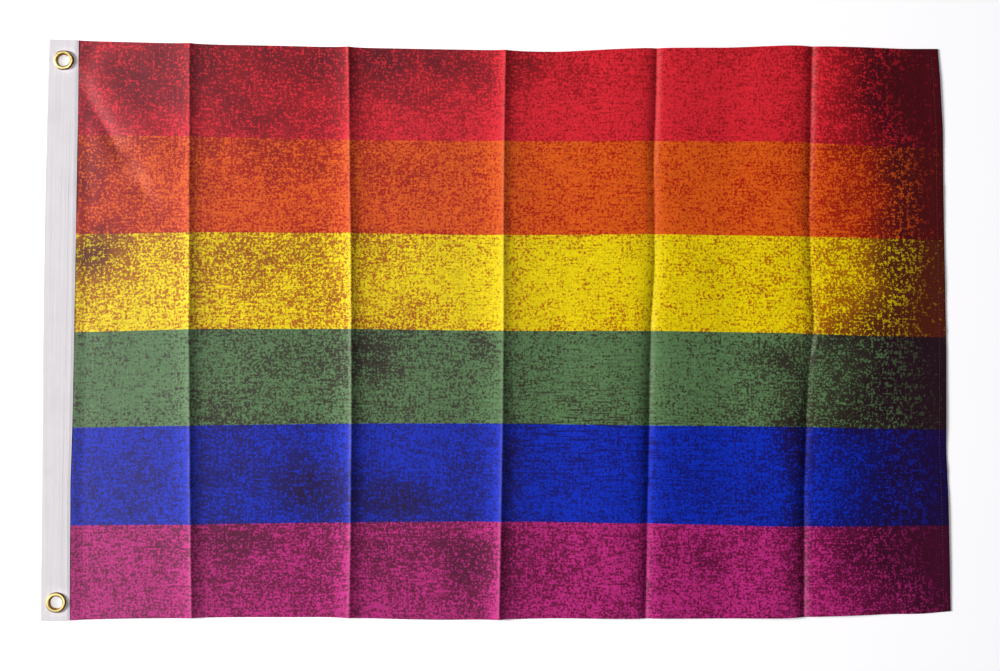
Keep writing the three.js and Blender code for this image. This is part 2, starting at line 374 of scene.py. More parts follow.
@dataclass
class FlagForm:
    """Outline, folds and print of the flag as it lies.

    Attributes:
        top_edge: height of the top edge, for each x.
        bottom_edge: height of the bottom edge, for each x.
        hoist_edge: x of the hoist edge, for each y.
        fly_edge: x of the fly edge, for each y.
        seam: x of the line where the tape ends, for each y.
        folds: the storage folds from the hoist to the fly.
        cross_folds: height and rise of the faint folds across the flag.
        cross_reach: how far a cross fold runs up and down.
        cross_spread: how far from a storage fold a cross fold still shows well.
        drag: the drag line at the top of the hoist.
        pinches: the short creases where folds cross.
        margin_floor: height at which the tape holds the cloth's margin.
        seam_run_out: distance from the seam in which the cloth comes down from it.
        cloth_thickness: thickness of the shown cloth.
        hem_thickness: its thickness in the hems.
        hem_width: how far the hems reach in from the edges.
        hem_row: how far in from the edges they are sewn.
        stripe_lines: height of each line between stripes, for each x, from the bottom up.
        stripe_height: height of one stripe on the flat cloth.
        base_wear: share of the cloth that the dark print covers, before the patches.
        most_wear: the most that it can come to; past 1 the print only gets more even.
        stains: patches where that print lies thicker or thinner.
        fade: strength of the painted gloss haze, strongest towards the hoist, for each x.
        streaks: patches where thin dark streaks show.
    """

    top_edge: Table = (
        (-468, 298.8), (-436, 297.9), (-380, 296.7), (-320, 295.4), (-225, 294.5), (-150, 293.0),
        (-25, 292.0), (30, 290.8), (60, 290.8), (110, 293.2), (165, 295.4), (240, 296.6),
        (305, 299.0), (380, 297.8), (430, 297.2), (468, 297.5),
    )
    bottom_edge: Table = (
        (-468, -293.7), (-436, -293.3), (-380, -292.4), (-300, -292.0), (-170, -293.2),
        (-100, -296.2), (-60, -297.3), (60, -297.0), (160, -298.2), (220, -298.9),
        (285, -299.2), (335, -297.8), (400, -296.6), (435, -296.8), (468, -294.2),
    )
    hoist_edge: Table = (
        (-300, -466.0), (-250, -466.3), (-150, -466.8), (-20, -467.8), (65, -468.0),
        (130, -468.0), (215, -467.3), (250, -466.9), (300, -466.2),
    )
    seam: Table = (
        (-300, -436.3), (-215, -437.3), (-155, -437.7), (-105, -436.6), (5, -436.0),
        (130, -435.7), (240, -435.3), (300, -435.7),
    )
    fly_edge: Table = (
        (-300, 466.0), (-220, 465.9), (-170, 465.8), (-130, 464.6), (-95, 465.3), (-20, 466.9),
        (145, 467.1), (208, 468.0), (235, 466.8), (262, 466.0), (300, 463.9),
    )
    folds: tuple[Fold, ...] = (
        Fold(
            FoldKind.RIDGE,
            line=((-300, -314.4), (-217, -316.2), (-108, -318.2), (0, -320.1), (120, -320.9), (300, -322.3)),
            rise=((-300, 3.6), (-150, 4.2), (0, 3.8), (150, 3.3), (300, 3.3)),
            rub_and_sheen=((-300, 0.5), (-180, 0.5), (-60, 0.35), (0, 0.1), (120, 0.05), (230, 0.1), (300, 0.1)),
            flanks=(95.0, 38.0),
            shed_and_highlight=0.45,
        ),
        Fold(
            FoldKind.RIDGE,
            line=((-300, -156.5), (-220, -155.4), (-110, -154.7), (0, -155.1), (120, -156.5), (300, -159.2)),
            rise=((-300, 3.3), (-100, 4.3), (0, 3.8), (150, 3.2), (300, 3.6)),
            rub_and_sheen=(
                (-300, 0.4), (-200, 0.5), (-90, 0.8), (-10, 0.8), (30, 0.4), (100, 0.25), (220, 0.3),
                (300, 0.3),
            ),
        ),
        Fold(
            FoldKind.RIDGE,
            line=((-300, -4.3), (-220, -2.5), (-110, -0.2), (0, 1.1), (120, 1.5), (230, 2.8), (300, 4.3)),
            rise=((-300, 4.2), (-180, 4.3), (-60, 3.8), (60, 2.8), (150, 3.2), (300, 3.4)),
            rub_and_sheen=((-300, 0.4), (-190, 0.5), (-60, 0.4), (10, 0.3), (90, 0.25), (180, 0.4), (300, 0.25)),
            shed_and_highlight=1.0,
        ),
        Fold(
            FoldKind.TROUGH,
            line=(
                (-300, 146.5), (-220, 148.5), (-110, 151.6), (-50, 153.2), (5, 155.0), (62, 159.4),
                (115, 159.8), (175, 159.2), (230, 161.8), (300, 163.7),
            ),
            rise=((-300, 2.9), (-60, 3.4), (40, 2.3), (140, 2.0), (220, 2.7), (300, 2.6)),
            rub_and_sheen=(
                (-300, 0.6), (-190, 0.1), (-120, 0.1), (-50, 0.8), (0, 0.5), (60, 0.1), (150, 0.3),
                (230, 0.7), (300, 0.7),
            ),
            shed_and_highlight=0.4,
        ),
        Fold(
            FoldKind.TROUGH,
            line=(
                (-300, 311.3), (-220, 312.6), (-165, 313.4), (-110, 316.2), (-52, 319.2), (5, 326.6),
                (60, 324.3), (118, 322.9), (230, 326.6), (300, 328.8),
            ),
            rise=((-300, 3.2), (-120, 3.4), (0, 2.0), (90, 1.9), (180, 2.6), (300, 2.6)),
            rub_and_sheen=(
                (-300, 0.9), (-220, 0.5), (-170, 0.1), (-100, 0.3), (-46, 0.3), (-34, 1.0), (-12, 1.0),
                (-4, 0.2), (60, 0.0), (150, 0.4), (230, 0.9), (300, 0.9),
            ),
            shed_and_highlight=0.15,
            bow_reach=(21.0, 33.0),
            far_share=((-300, 0.85), (-120, 0.75), (-10, 0.5), (100, 0.5), (160, 0.9), (300, 0.95)),
        ),
    )
    cross_folds: Table = ((146, 0.7), (-2, 0.8), (-148, 0.9))
    cross_reach: float = 13.0
    cross_spread: float = 30.0
    drag: Drag = Drag()
    pinches: tuple[Pinch, ...] = (
        Pinch((330, -7), (322, -36), 0.9, 5.0),
        Pinch((144, -159), (153, -151), 0.9, 4.0),
        Pinch((153, -151), (168, -147), 0.7, 5.0),
        Pinch((-328, -150), (-318, -158), 0.7, 5.0),
        Pinch((-168, -146), (-158, -154), 0.7, 5.0),
        Pinch((-8, -140), (4, -152), 0.8, 5.0),
        Pinch((120, -139), (142, -146), 0.5, 7.0),
        Pinch((160, 150), (172, 141), 0.6, 6.0),
        Pinch((322, 150), (336, 140), 0.6, 6.0),
        Pinch((-424, 14), (-404, -12), 0.7, 9.0),
        Pinch((-400, 8), (-384, 30), 0.5, 9.0),
        Pinch((-60, -176), (-36, -190), 0.6, 8.0),
        Pinch((-232, -146), (-196, -160), 0.6, 12.0),
    )
    margin_floor: float = 1.1
    seam_run_out: float = 13.0
    cloth_thickness: float = 0.5
    hem_thickness: float = 0.78
    hem_width: float = 9.0
    hem_row: float = 7.4
    stripe_lines: tuple[Table, ...] = (
        ((-436, -199.5), (-418, -199.3), (-307, -199.2), (-145, -198.4), (-2, -198.6), (153, -201.8),
         (288, -206.0), (383, -206.8), (462, -206.5)),
        ((-436, -101.5), (-419, -101.4), (-308, -99.8), (-146, -98.5), (-2, -99.2), (154, -102.0),
         (290, -103.6), (385, -106.1), (462, -107.5)),
        ((-436, -2.9), (-420, -2.7), (-309, 0.3), (-146, 0.1), (-2, -2.2), (154, -2.3),
         (291, -4.6), (386, -7.9), (462, -9.5)),
        ((-436, 96.5), (-422, 96.7), (-310, 99.1), (-146, 98.4), (-1, 96.6), (155, 98.0),
         (293, 96.2), (388, 94.3), (462, 92.5)),
        ((-436, 198.2), (-423, 198.0), (-311, 197.0), (-147, 194.3), (-1, 194.1), (156, 195.0),
         (294, 195.2), (390, 190.9), (462, 189.5)),
    )
    stripe_height: float = 98.6
    base_wear: float = 0.47
    most_wear: float = 1.45
    stains: tuple[Stain, ...] = stained(
        # broad weathering: heavy along the top left, light in the middle, heavy at the fly
        (-280, 270, 230, 56, 0.29), (-40, 275, 160, 30, 0.18), (-410, 190, 60, 110, 0.13),
        (-230, 175, 90, 26, 0.12), (-240, 80, 150, 30, 0.12), (-390, -50, 70, 60, -0.24),
        (-390, -150, 60, 50, 0.07), (-400, 252, 30, 26, -0.08), (-255, 262, 34, 24, -0.05),
        (170, 230, 190, 70, -0.16), (170, 60, 170, 90, -0.14), (150, -60, 170, 80, -0.10),
        (30, 50, 100, 40, -0.10), (505, 0, 88, 700, 0.95), (470, 270, 100, 60, 0.45),
        (475, 60, 60, 120, 0.25), (420, 220, 60, 60, 0.16), (430, -230, 90, 40, 0.36),
        (390, -60, 80, 100, 0.26), (345, 200, 22, 90, 0.10),
        # smaller patches
        (-420, 75, 40, 32, 0.24), (-425, 160, 30, 40, 0.12), (-250, 215, 70, 22, 0.06),
        (-135, -25, 32, 26, 0.34), (-20, -15, 20, 16, 0.22), (-190, -160, 38, 26, 0.34),
        (-95, -175, 60, 20, 0.30), (8, -150, 14, 48, 0.26), (-280, -215, 34, 16, 0.22),
        (-85, -225, 80, 24, 0.20), (-30, -250, 34, 28, 0.20), (30, -262, 60, 22, 0.12),
        (210, -240, 22, 18, 0.16), (303, -200, 14, 110, 0.22), (290, -35, 34, 22, 0.24),
        (300, -110, 26, 30, 0.14), (-300, -120, 16, 60, 0.10), (-210, 30, 70, 20, 0.08),
        (-60, 60, 60, 30, -0.10), (-260, 130, 60, 18, -0.04), (-420, -40, 40, 60, 0.04),
        (-240, -140, 90, 50, 0.12), (-240, -240, 90, 50, 0.10),
    )
    # painted gloss haze: the print is lightened towards the hoist, where the lamps at the left shine off the
    # cloth
    fade: Table = (
        (-440, 0.030), (-340, 0.026), (-300, 0.014), (-200, 0.009), (-120, 0.012), (-30, 0.011),
        (20, 0.004), (150, 0.001), (470, 0.0),
    )
    streaks: tuple[Stain, ...] = stained(
        (70, -110, 95, 90, 1.0), (190, -130, 70, 60, 0.6), (-60, -180, 50, 40, 0.4),
    )

    def lift(self, x: Array, y: Array) -> Array:
        """Height of the folds, before the hoist seam holds them down.

        Args:
            x: positions along the fly.
            y: positions up the hoist.

        Returns:
            The height at each point.
        """
        folds = np.max([fold.lift(x, y) for fold in self.folds], axis=0)
        nearest = np.min([np.abs(fold.offset(x, y)) for fold in self.folds], axis=0)
        strength = 0.3 + 0.7 * np.exp(-((nearest / self.cross_spread) ** 2))
        cross = sum(
            rise * strength * np.clip(1.0 - np.abs(y - level) / self.cross_reach, 0.0, 1.0) ** 2
            for level, rise in self.cross_folds
        )
        pinched = sum(pinch.lift(x, y) for pinch in self.pinches)
        return folds + cross + pinched + self.drag.lift(x, y) + self.ripple(x, y) + self.pucker(x, y)

    def ripple(self, x: Array, y: Array) -> Array:
        """Slow unevenness of cloth that isn't pulled tight.

        Args:
            x: positions along the fly.
            y: positions up the hoist.

        Returns:
            The height that it adds at each point.
        """
        draw = np.random.default_rng(11)
        total = np.zeros_like(x)
        for _ in range(14):
            length = draw.uniform(55.0, 190.0)
            turn = draw.uniform(0.0, math.pi)
            phase = draw.uniform(0.0, 2.0 * math.pi)
            total += np.sin(2.0 * math.pi * (x * math.cos(turn) + y * math.sin(turn)) / length + phase)
        return 0.16 * np.clip(total / 2.6 + 1.0, 0.0, 2.5)

    def pucker(self, x: Array, y: Array) -> Array:
        """Short creases that run off the storage folds.

        Args:
            x: positions along the fly.
            y: positions up the hoist.

        Returns:
            The height that they add at each point.
        """
        draw = np.random.default_rng(23)
        total = np.zeros_like(x)
        marks = np.arange(-320.0, 321.0, 4.0)
        for fold in self.folds:
            offset = fold.offset(x, y)
            slant = draw.uniform(-0.4, 0.4)
            strength = np.interp(y + slant * np.abs(offset), marks, draw.uniform(0.0, 1.0, marks.size))
            total += 0.16 * strength * np.exp(-((offset / 11.0) ** 2))
        return total

    def floor(self, x: Array, y: Array) -> Array:
        """Height of the underside of the cloth.

        Args:
            x: positions along the fly.
            y: positions up the hoist.

        Returns:
            The height at each point.
        """
        seam = read(self.seam, y)
        free = ease((x - seam - 2.0) / 22.0)
        held = self.margin_floor * (1.0 - ease((x - seam) / self.seam_run_out))
        return held + self.lift(x, y) * free

    def hem_distance(self, x: Array, y: Array) -> Array:
        """Distance in from the nearest hemmed edge, at points x, y."""
        edges = [read(self.top_edge, x) - y, y - read(self.bottom_edge, x), read(self.fly_edge, y) - x]
        return np.min(edges, axis=0)

    def faces(self, x: Array, y: Array) -> tuple[Array, Array]:
        """Heights of both faces of the cloth, with the hems turned to the back.

        Args:
            x: positions along the fly.
            y: positions up the hoist.

        Returns:
            The height of the underside and of the printed face.
        """
        floor = self.floor(x, y)
        inward = np.clip(self.hem_distance(x, y), 0.0, None)
        extra = (self.hem_thickness - self.cloth_thickness) * ease((x - read(self.seam, y) - 1.0) / 6.0)
        top = floor + self.cloth_thickness + extra * (1.0 - ease((inward - self.hem_width) / 7.0))
        edge = np.sqrt(np.clip(inward / 0.9, 0.0, 1.0))
        top -= 0.5 * (self.cloth_thickness + extra) * (1.0 - edge)
        under = np.where(inward <= self.hem_width, floor, top - self.cloth_thickness)
        under += 0.2 * np.clip(1.0 - inward / 0.5, 0.0, 1.0)
        groove = 0.06 * np.exp(-(((inward - self.hem_row) / 0.8) ** 2))
        return under, top - groove

    def on_outline(self, x: Array, y: Array) -> Array:
        """Moves nominal heights onto the uneven top and bottom edges.

        Args:
            x: positions along the fly.
            y: nominal heights, from -HALF_HEIGHT to HALF_HEIGHT.

        Returns:
            The heights on the flag as it lies.
        """
        t = (y + HALF_HEIGHT) / (2.0 * HALF_HEIGHT)
        upper = (read(self.top_edge, x) - HALF_HEIGHT) * ease((t - 0.55) / 0.4)
        lower = (read(self.bottom_edge, x) + HALF_HEIGHT) * ease((0.45 - t) / 0.4)
        return y + upper + lower

    def flat_place(self, x: Array, y: Array) -> tuple[Array, Array]:
        """Where each point of the laid cloth is on the flat print.

        Args:
            x: positions along the fly.
            y: positions up the hoist.

        Returns:
            Distance from the hoist seam and from the bottom edge, in metres.
        """
        marks = [read(self.bottom_edge, x)]
        marks += [read(line, x, 12.0) for line in self.stripe_lines]
        marks += [read(self.top_edge, x)]
        up = np.zeros_like(x)
        for low, high in zip(marks[:-1], marks[1:]):
            up += np.clip((y - low) / (high - low), 0.0, 1.0)
        return (x - read(self.seam, y)) * MM, up * self.stripe_height * MM

    def wear(self, x: Array, y: Array) -> Array:
        """Share of the cloth that the dark worn print covers, at points x, y."""
        total = self.base_wear + sum(stain.at(x, y) for stain in self.stains)
        return np.clip(total, 0.0, self.most_wear)

    def streaked(self, x: Array, y: Array) -> Array:
        """How strongly thin dark streaks show in the print, at points x, y."""
        return np.clip(sum(patch.at(x, y) for patch in self.streaks), 0.0, 1.0)

    def rubbed_and_lit(self, x: Array, y: Array) -> Array:
        """How far the dark print has come off along the folds, with painted highlight on their lit flanks.

        Args:
            x: positions along the fly.
            y: positions up the hoist.

        Returns:
            0 where the print is whole, up to 1.
        """
        draw = np.random.default_rng(5)
        marks = np.arange(-320.0, 321.0, 3.0)
        total = self.drag.rubbed_and_lit(x, y)
        for fold in self.folds:
            patchy = np.interp(y, marks, draw.uniform(0.7, 1.0, marks.size))
            total = np.maximum(total, fold.rubbed_and_lit(x, y) * patchy)
        return np.clip(total, 0.0, 1.0)

    def paled_and_lit(self, x: Array, y: Array) -> Array:
        """How bare the yarn is along the folds, with painted sheen on their lit sides and on the drag line.

        Args:
            x: positions along the fly.
            y: positions up the hoist.

        Returns:
            0 off the folds, up to 1.
        """
        draw = np.random.default_rng(6)
        marks = np.arange(-320.0, 321.0, 2.0)
        total = self.drag.paled_and_lit(x, y)
        for fold in self.folds:
            patchy = np.interp(y, marks, draw.uniform(0.5, 1.0, marks.size))
            total = np.maximum(total, fold.paled_and_lit(x, y) * patchy)
        return np.clip(total, 0.0, 1.0)


# ---- meshes --------------------------------------------------------------------------


@dataclass
class SheetMesh:
    """A closed thin sheet between an outer and an inner grid of points.

    Attributes:
        outer: rows by columns by 3, in millimetres.
        inner: the same for the other face.
        keep: which cells of the grid are cloth.
    """

    outer: Array
    inner: Array
    keep: Array | None = None

    def quads(self) -> tuple[Array, Array, Array]:
        """Lists the faces by grid number, counting the inner points after the outer ones.

        Returns:
            The outer faces, the inner faces, and the walls round every edge.
        """
        rows, cols = self.outer.shape[:2]
        keep = np.ones((rows - 1, cols - 1), bool) if self.keep is None else self.keep
        number = np.arange(rows * cols).reshape(rows, cols)
        a, b = number[:-1, :-1][keep], number[:-1, 1:][keep]
        c, d = number[1:, 1:][keep], number[1:, :-1][keep]
        count = rows * cols
        outer = np.stack([a, b, c, d], 1)
        inner = np.stack([a, d, c, b], 1) + count
        framed = np.pad(keep, 1)
        sides = []
        for shift, start, end in (((-1, 0), 0, 1), ((0, 1), 1, 2), ((1, 0), 2, 3), ((0, -1), 3, 0)):
            beside = framed[1 + shift[0] : rows + shift[0], 1 + shift[1] : cols + shift[1]]
            bare = ~beside[keep]
            one, two = outer[bare, start], outer[bare, end]
            sides.append(np.stack([one + count, two + count, two, one], 1))
        return outer, inner, np.concatenate(sides)

    def build(self, name: str, uv: Array, marks: dict[str, Array]) -> Piece:
        """Makes the mesh object.

        Args:
            name: name of the piece.
            uv: rows by columns by 2, the place of each point on the flat cloth.
            marks: named values for each point of the grid.

        Returns:
            The object, with the outer faces in slot 0 and the inner ones in slot 1.
        """
        outer, inner, walls = self.quads()
        faces = np.concatenate([outer, inner, walls])
        points = np.concatenate([self.outer.reshape(-1, 3), self.inner.reshape(-1, 3)]) * MM
        used, faces = np.unique(faces, return_inverse=True)
        faces = faces.reshape(-1, 4)
        mesh = bpy.data.meshes.new(name)
        mesh.from_pydata(points[used].tolist(), [], faces.tolist())
        slot = np.zeros(len(faces), np.int32)
        slot[len(outer) : len(outer) + len(inner)] = 1
        mesh.polygons.foreach_set("material_index", slot)
        source = used % (self.outer.shape[0] * self.outer.shape[1])
        put_uv(mesh, uv.reshape(-1, 2)[source])
        for key, values in marks.items():
            put_mark(mesh, key, values.reshape(-1)[source])
        weld(mesh)
        return shown(name, mesh, 50.0)


def put_uv(mesh: bpy.types.Mesh, places: Array) -> None:
    """Writes the flat place of each vertex as the UV map named print.

    Args:
        mesh: the mesh to write to.
        places: vertices by 2, in metres on the flat cloth.
    """
    corners = np.zeros(len(mesh.loops), np.int32)
    mesh.loops.foreach_get("vertex_index", corners)
    layer = mesh.uv_layers.get("print") or mesh.uv_layers.new(name="print")
    layer.data.foreach_set("uv", places[corners].astype(np.float32).reshape(-1))


def put_mark(mesh: bpy.types.Mesh, name: str, values: Array) -> None:
    """Writes one named value for each vertex, which a material can read."""
    layer = mesh.attributes.new(name, "FLOAT", "POINT")
    layer.data.foreach_set("value", values.astype(np.float32))


def weld(mesh: bpy.types.Mesh) -> None:
    """Joins points that lie on one spot, which drops the faces that closed up there.

    Args:
        mesh: the mesh to clean.
    """
    work = bmesh.new()
    work.from_mesh(mesh)
    bmesh.ops.remove_doubles(work, verts=work.verts, dist=1e-6)
    work.to_mesh(mesh)
    work.free()


def linked(name: str, data: bpy.types.ID) -> Piece:
    """Puts an object in the scene.

    Args:
        name: its name.
        data: its mesh, light or camera.

    Returns:
        The object.
    """
    made = bpy.data.objects.new(name, data)
    bpy.context.scene.collection.objects.link(made)
    return made


def shown(name: str, mesh: bpy.types.Mesh, sharp: float) -> Piece:
    """Links a finished mesh as an object with smooth faces.

    Args:
        name: name of the piece.
        mesh: its mesh, in metres and in place.
        sharp: angle in degrees past which an edge stays sharp.

    Returns:
        The new object.
    """
    mesh.polygons.foreach_set("use_smooth", np.ones(len(mesh.polygons), bool))
    mesh.set_sharp_from_angle(angle=math.radians(sharp))
    mesh.update()
    return linked(name, mesh)


# ---- shader graphs -------------------------------------------------------------------


@dataclass
class Graph:
    """A short hand for laying out one node tree."""

    tree: bpy.types.NodeTree

    def node(self, kind: str, **settings: Any) -> bpy.types.Node:
        """Adds a node.

        Args:
            kind: its Blender type name.
            **settings: properties to set on it.

        Returns:
            The node.
        """
        made = self.tree.nodes.new(kind)
        for key, value in settings.items():
            setattr(made, key, value)
        return made

    def fed(self, kind: str, inputs: dict[int | str, Any], **settings: Any) -> bpy.types.Node:
        """Adds a node with some properties set and its inputs fed, by number or name."""
        return self.fill(self.node(kind, **settings), inputs)

    def fill(self, made: bpy.types.Node, inputs: dict[int | str, Any]) -> bpy.types.Node:
        """Feeds several inputs of a node.

        Args:
            made: the node.
            inputs: value or socket for each input, by number or name.

        Returns:
            The same node.
        """
        for key, value in inputs.items():
            self.feed(made.inputs[key], value)
        return made

    def feed(self, socket: Socket, value: Any) -> None:
        """Links a socket, or sets it where the value is a constant.

        Args:
            socket: input to feed.
            value: another socket, a number, or a tuple.
        """
        if isinstance(value, bpy.types.NodeSocket):
            self.tree.links.new(value, socket)
        elif isinstance(value, tuple) and len(value) == 3 and socket.type == "RGBA":
            socket.default_value = (*value, 1.0)
        else:
            socket.default_value = value

    def maths(self, operation: str, a: Any, b: Any = 0.0, clamp: bool = False) -> Socket:
        """Adds a Math node, held to 0 to 1 if it is clamped."""
        return self.fed("ShaderNodeMath", {0: a, 1: b}, operation=operation, use_clamp=clamp).outputs[0]

    def plus(self, a: Any, b: Any) -> Socket:
        """Adds two values."""
        return self.maths("ADD", a, b)

    def minus(self, a: Any, b: Any) -> Socket:
        """Takes the second value from the first."""
        return self.maths("SUBTRACT", a, b)

    def times(self, a: Any, b: Any) -> Socket:
        """Multiplies two values."""
        return self.maths("MULTIPLY", a, b)

    def blend(self, share: Any, a: Any, b: Any, kind: str = "MIX") -> Socket:
        """Mixes two colours by the share of the second."""
        return self.fed("ShaderNodeMix", {0: share, 6: a, 7: b}, data_type="RGBA", blend_type=kind).outputs[2]

    def ramped(
        self, value: Any, low: Any, high: Any, to_low: float = 0.0, to_high: float = 1.0
    ) -> Socket:
        """Maps a value smoothly from the range low to high onto another."""
        inputs = dict(enumerate((value, low, high, to_low, to_high)))
        return self.fed("ShaderNodeMapRange", inputs, interpolation_type="SMOOTHSTEP").outputs[0]

    def stretched(self, vector: Any, by: tuple[float, float, float]) -> Socket:
        """Scales a vector by three factors."""
        return self.fed("ShaderNodeVectorMath", {0: vector, 1: by}, operation="MULTIPLY").outputs[0]

    def shaded(self, colour: Any, by: Any) -> Socket:
        """Scales a colour by one factor."""
        return self.fed("ShaderNodeVectorMath", {0: colour, "Scale": by}, operation="SCALE").outputs[0]

    def noise(
        self, vector: Any, scale: float = 1.0, detail: float = 2.0, rough: float = 0.5, warp: float = 0.0
    ) -> Socket:
        """Adds a noise texture, with a value of about 0.5 on average."""
        inputs = {"Vector": vector, "Scale": scale, "Detail": detail, "Roughness": rough, "Distortion": warp}
        return self.fed("ShaderNodeTexNoise", inputs).outputs["Fac"]

    def group(self, tree: bpy.types.NodeTree, **inputs: Any) -> bpy.types.Node:
        """Places a shared group, with underscores for the spaces in the names of its inputs."""
        named = {key.replace("_", " "): value for key, value in inputs.items()}
        return self.fed("ShaderNodeGroup", named, node_tree=tree)

    def split(self, vector: Any) -> tuple[Socket, Socket]:
        """Takes the x and y of a vector."""
        parts = self.fed("ShaderNodeSeparateXYZ", {0: vector}).outputs
        return parts[0], parts[1]


def new_group(
    name: str, inputs: Sequence[tuple[str, str, Any]], outputs: Sequence[tuple[str, str]]
) -> tuple[Graph, bpy.types.Node, bpy.types.Node]:
    """Starts a shared shader group.

    Args:
        name: its name.
        inputs: name, kind of socket and starting value of each input.
        outputs: name and kind of socket of each output.

    Returns:
        The graph, its input node and its output node.
    """
    tree = bpy.data.node_groups.new(name, "ShaderNodeTree")
    for label, kind, value in inputs:
        socket = tree.interface.new_socket(label, in_out="INPUT", socket_type=f"NodeSocket{kind}")
        if value is not None:
            socket.default_value = value
    for label, kind in outputs:
        tree.interface.new_socket(label, in_out="OUTPUT", socket_type=f"NodeSocket{kind}")
    graph = Graph(tree)
    return graph, graph.node("NodeGroupInput"), graph.node("NodeGroupOutput")


class Effects:
    """The shader groups that several finishes share."""

    def __init__(self) -> None:
        """Builds each group once."""
        self.weave = self.make_weave()
        self.worn_print = self.make_worn_print()
        self.stripes = self.make_stripes()

    def make_weave(self) -> bpy.types.NodeTree:
        """Plain weave: threads over and under, with uneven yarn.

        Returns:
            A group from a place in millimetres and a pitch to a height and a shade.
        """
        graph, given, out = new_group(
            "plain_weave",
            [("Place", "Vector", None), ("Pitch", "Float", 0.5), ("Unevenness", "Float", 0.35)],
            [("Height", "Float"), ("Shade", "Float")],
        )
        place = given.outputs["Place"]
        x, y = graph.split(place)
        turn = graph.maths("DIVIDE", math.pi, given.outputs["Pitch"])
        across, along = (graph.maths("SINE", graph.times(way, turn)) for way in (x, y))
        warp = graph.noise(graph.stretched(place, (1.4, 0.03, 1.0)), detail=1.0)
        weft = graph.noise(graph.stretched(place, (0.03, 1.4, 1.0)), detail=1.0)
        yarn = graph.times(graph.plus(warp, weft), given.outputs["Unevenness"])
        height = graph.plus(graph.times(graph.maths("ABSOLUTE", graph.times(across, along)), 0.6), yarn)
        graph.feed(out.inputs["Height"], height)
        graph.feed(out.inputs["Shade"], graph.minus(graph.plus(warp, weft), 1.0))
        return graph.tree

    def make_worn_print(self) -> bpy.types.NodeTree:
        """Dark speckled overprint that looks like wear.

        Returns:
            A group from a place, a wear share, a share of rub and painted highlight and three colours to the
            printed colour.
        """
        graph, given, out = new_group(
            "worn_print",
            [
                ("Place", "Vector", None), ("Wear", "Float", 0.4), ("Rub", "Float", 0.0),
                ("Dye", "Color", None), ("Ink", "Color", None), ("Inked Dye", "Color", None),
                ("Dense", "Color", None), ("Streak", "Float", 0.0),
            ],
            [("Colour", "Color"), ("Inked", "Float")],
        )
        place, dye, inked_dye = (given.outputs[key] for key in ("Place", "Dye", "Inked Dye"))

        # the speckle: flecks, streaks of weft and warp, and patches
        fleck = graph.noise(place, scale=0.40, detail=2.0, rough=0.6, warp=0.6)
        across = graph.noise(graph.stretched(place, (0.05, 0.55, 1.0)), detail=1.0)
        along = graph.noise(graph.stretched(place, (0.55, 0.05, 1.0)), detail=1.0)
        patch = graph.noise(place, scale=0.11, detail=3.0, rough=0.6)
        speckle: Any = 0.0
        for value, share in ((fleck, 0.54), (across, 0.13), (along, 0.11), (patch, 0.22)):
            speckle = graph.plus(speckle, graph.times(value, share))

        #     how worn it is here: slow drift added, rub and painted highlight on the folds' lit flanks taken
        #         off, clumps where it is heavy
        cloud = graph.noise(place, scale=0.021, detail=2.0, rough=0.55)
        wear = graph.plus(given.outputs["Wear"], graph.times(graph.minus(cloud, 0.5), 0.5))
        wear = graph.minus(wear, graph.times(given.outputs["Rub"], 0.4))
        clump = graph.noise(graph.stretched(place, (0.24, 0.15, 1.0)), detail=4.0, rough=0.62)
        clumped = graph.times(graph.minus(clump, 0.5), graph.ramped(wear, 0.6, 1.05, 0.0, 0.6))
        speckle = graph.plus(speckle, clumped)

        # the share of dark print: speckle above a limit, over a thin veil and streaks
        limit = graph.minus(0.63, graph.times(graph.maths("MINIMUM", wear, 0.72), 0.26))
        limit = graph.minus(limit, graph.ramped(wear, 1.08, 1.45, 0.0, 0.085))
        blur = graph.ramped(wear, 0.5, 1.0, 0.055, 0.045)
        inked = graph.ramped(speckle, graph.minus(limit, blur), graph.plus(limit, blur))
        slub = graph.noise(graph.stretched(place, (0.028, 0.42, 1.0)), detail=2.0, rough=0.6)
        slub = graph.times(graph.ramped(slub, 0.53, 0.62), given.outputs["Streak"])
        veil = graph.maths("MAXIMUM", graph.ramped(wear, 0.42, 1.35, 0.0, 0.66), slub)
        solid = graph.times(inked, graph.ramped(wear, 0.5, 0.95, 0.95, 0.995))
        cover = graph.maths("MAXIMUM", solid, veil)

        # bare dye dims where the print is heavy, and thin ink thickens towards maroon
        grain = graph.ramped(graph.plus(fleck, graph.times(across, 0.35)), 0.5, 0.86, 1.10, 0.80)
        bare = graph.shaded(graph.blend(graph.ramped(wear, 0.85, 1.35, 0.0, 0.7), dye, inked_dye), grain)
        filtered = graph.blend(1.0, dye, given.outputs["Dense"], "MULTIPLY")
        thick = graph.fed("ShaderNodeVectorMath", {0: filtered, 1: given.outputs["Ink"]}, operation="ADD")
        dark = graph.blend(graph.ramped(wear, 0.40, 1.0), inked_dye, thick.outputs[0])
        graph.feed(out.inputs["Colour"], graph.blend(cover, bare, dark))
        graph.feed(out.inputs["Inked"], cover)
        return graph.tree

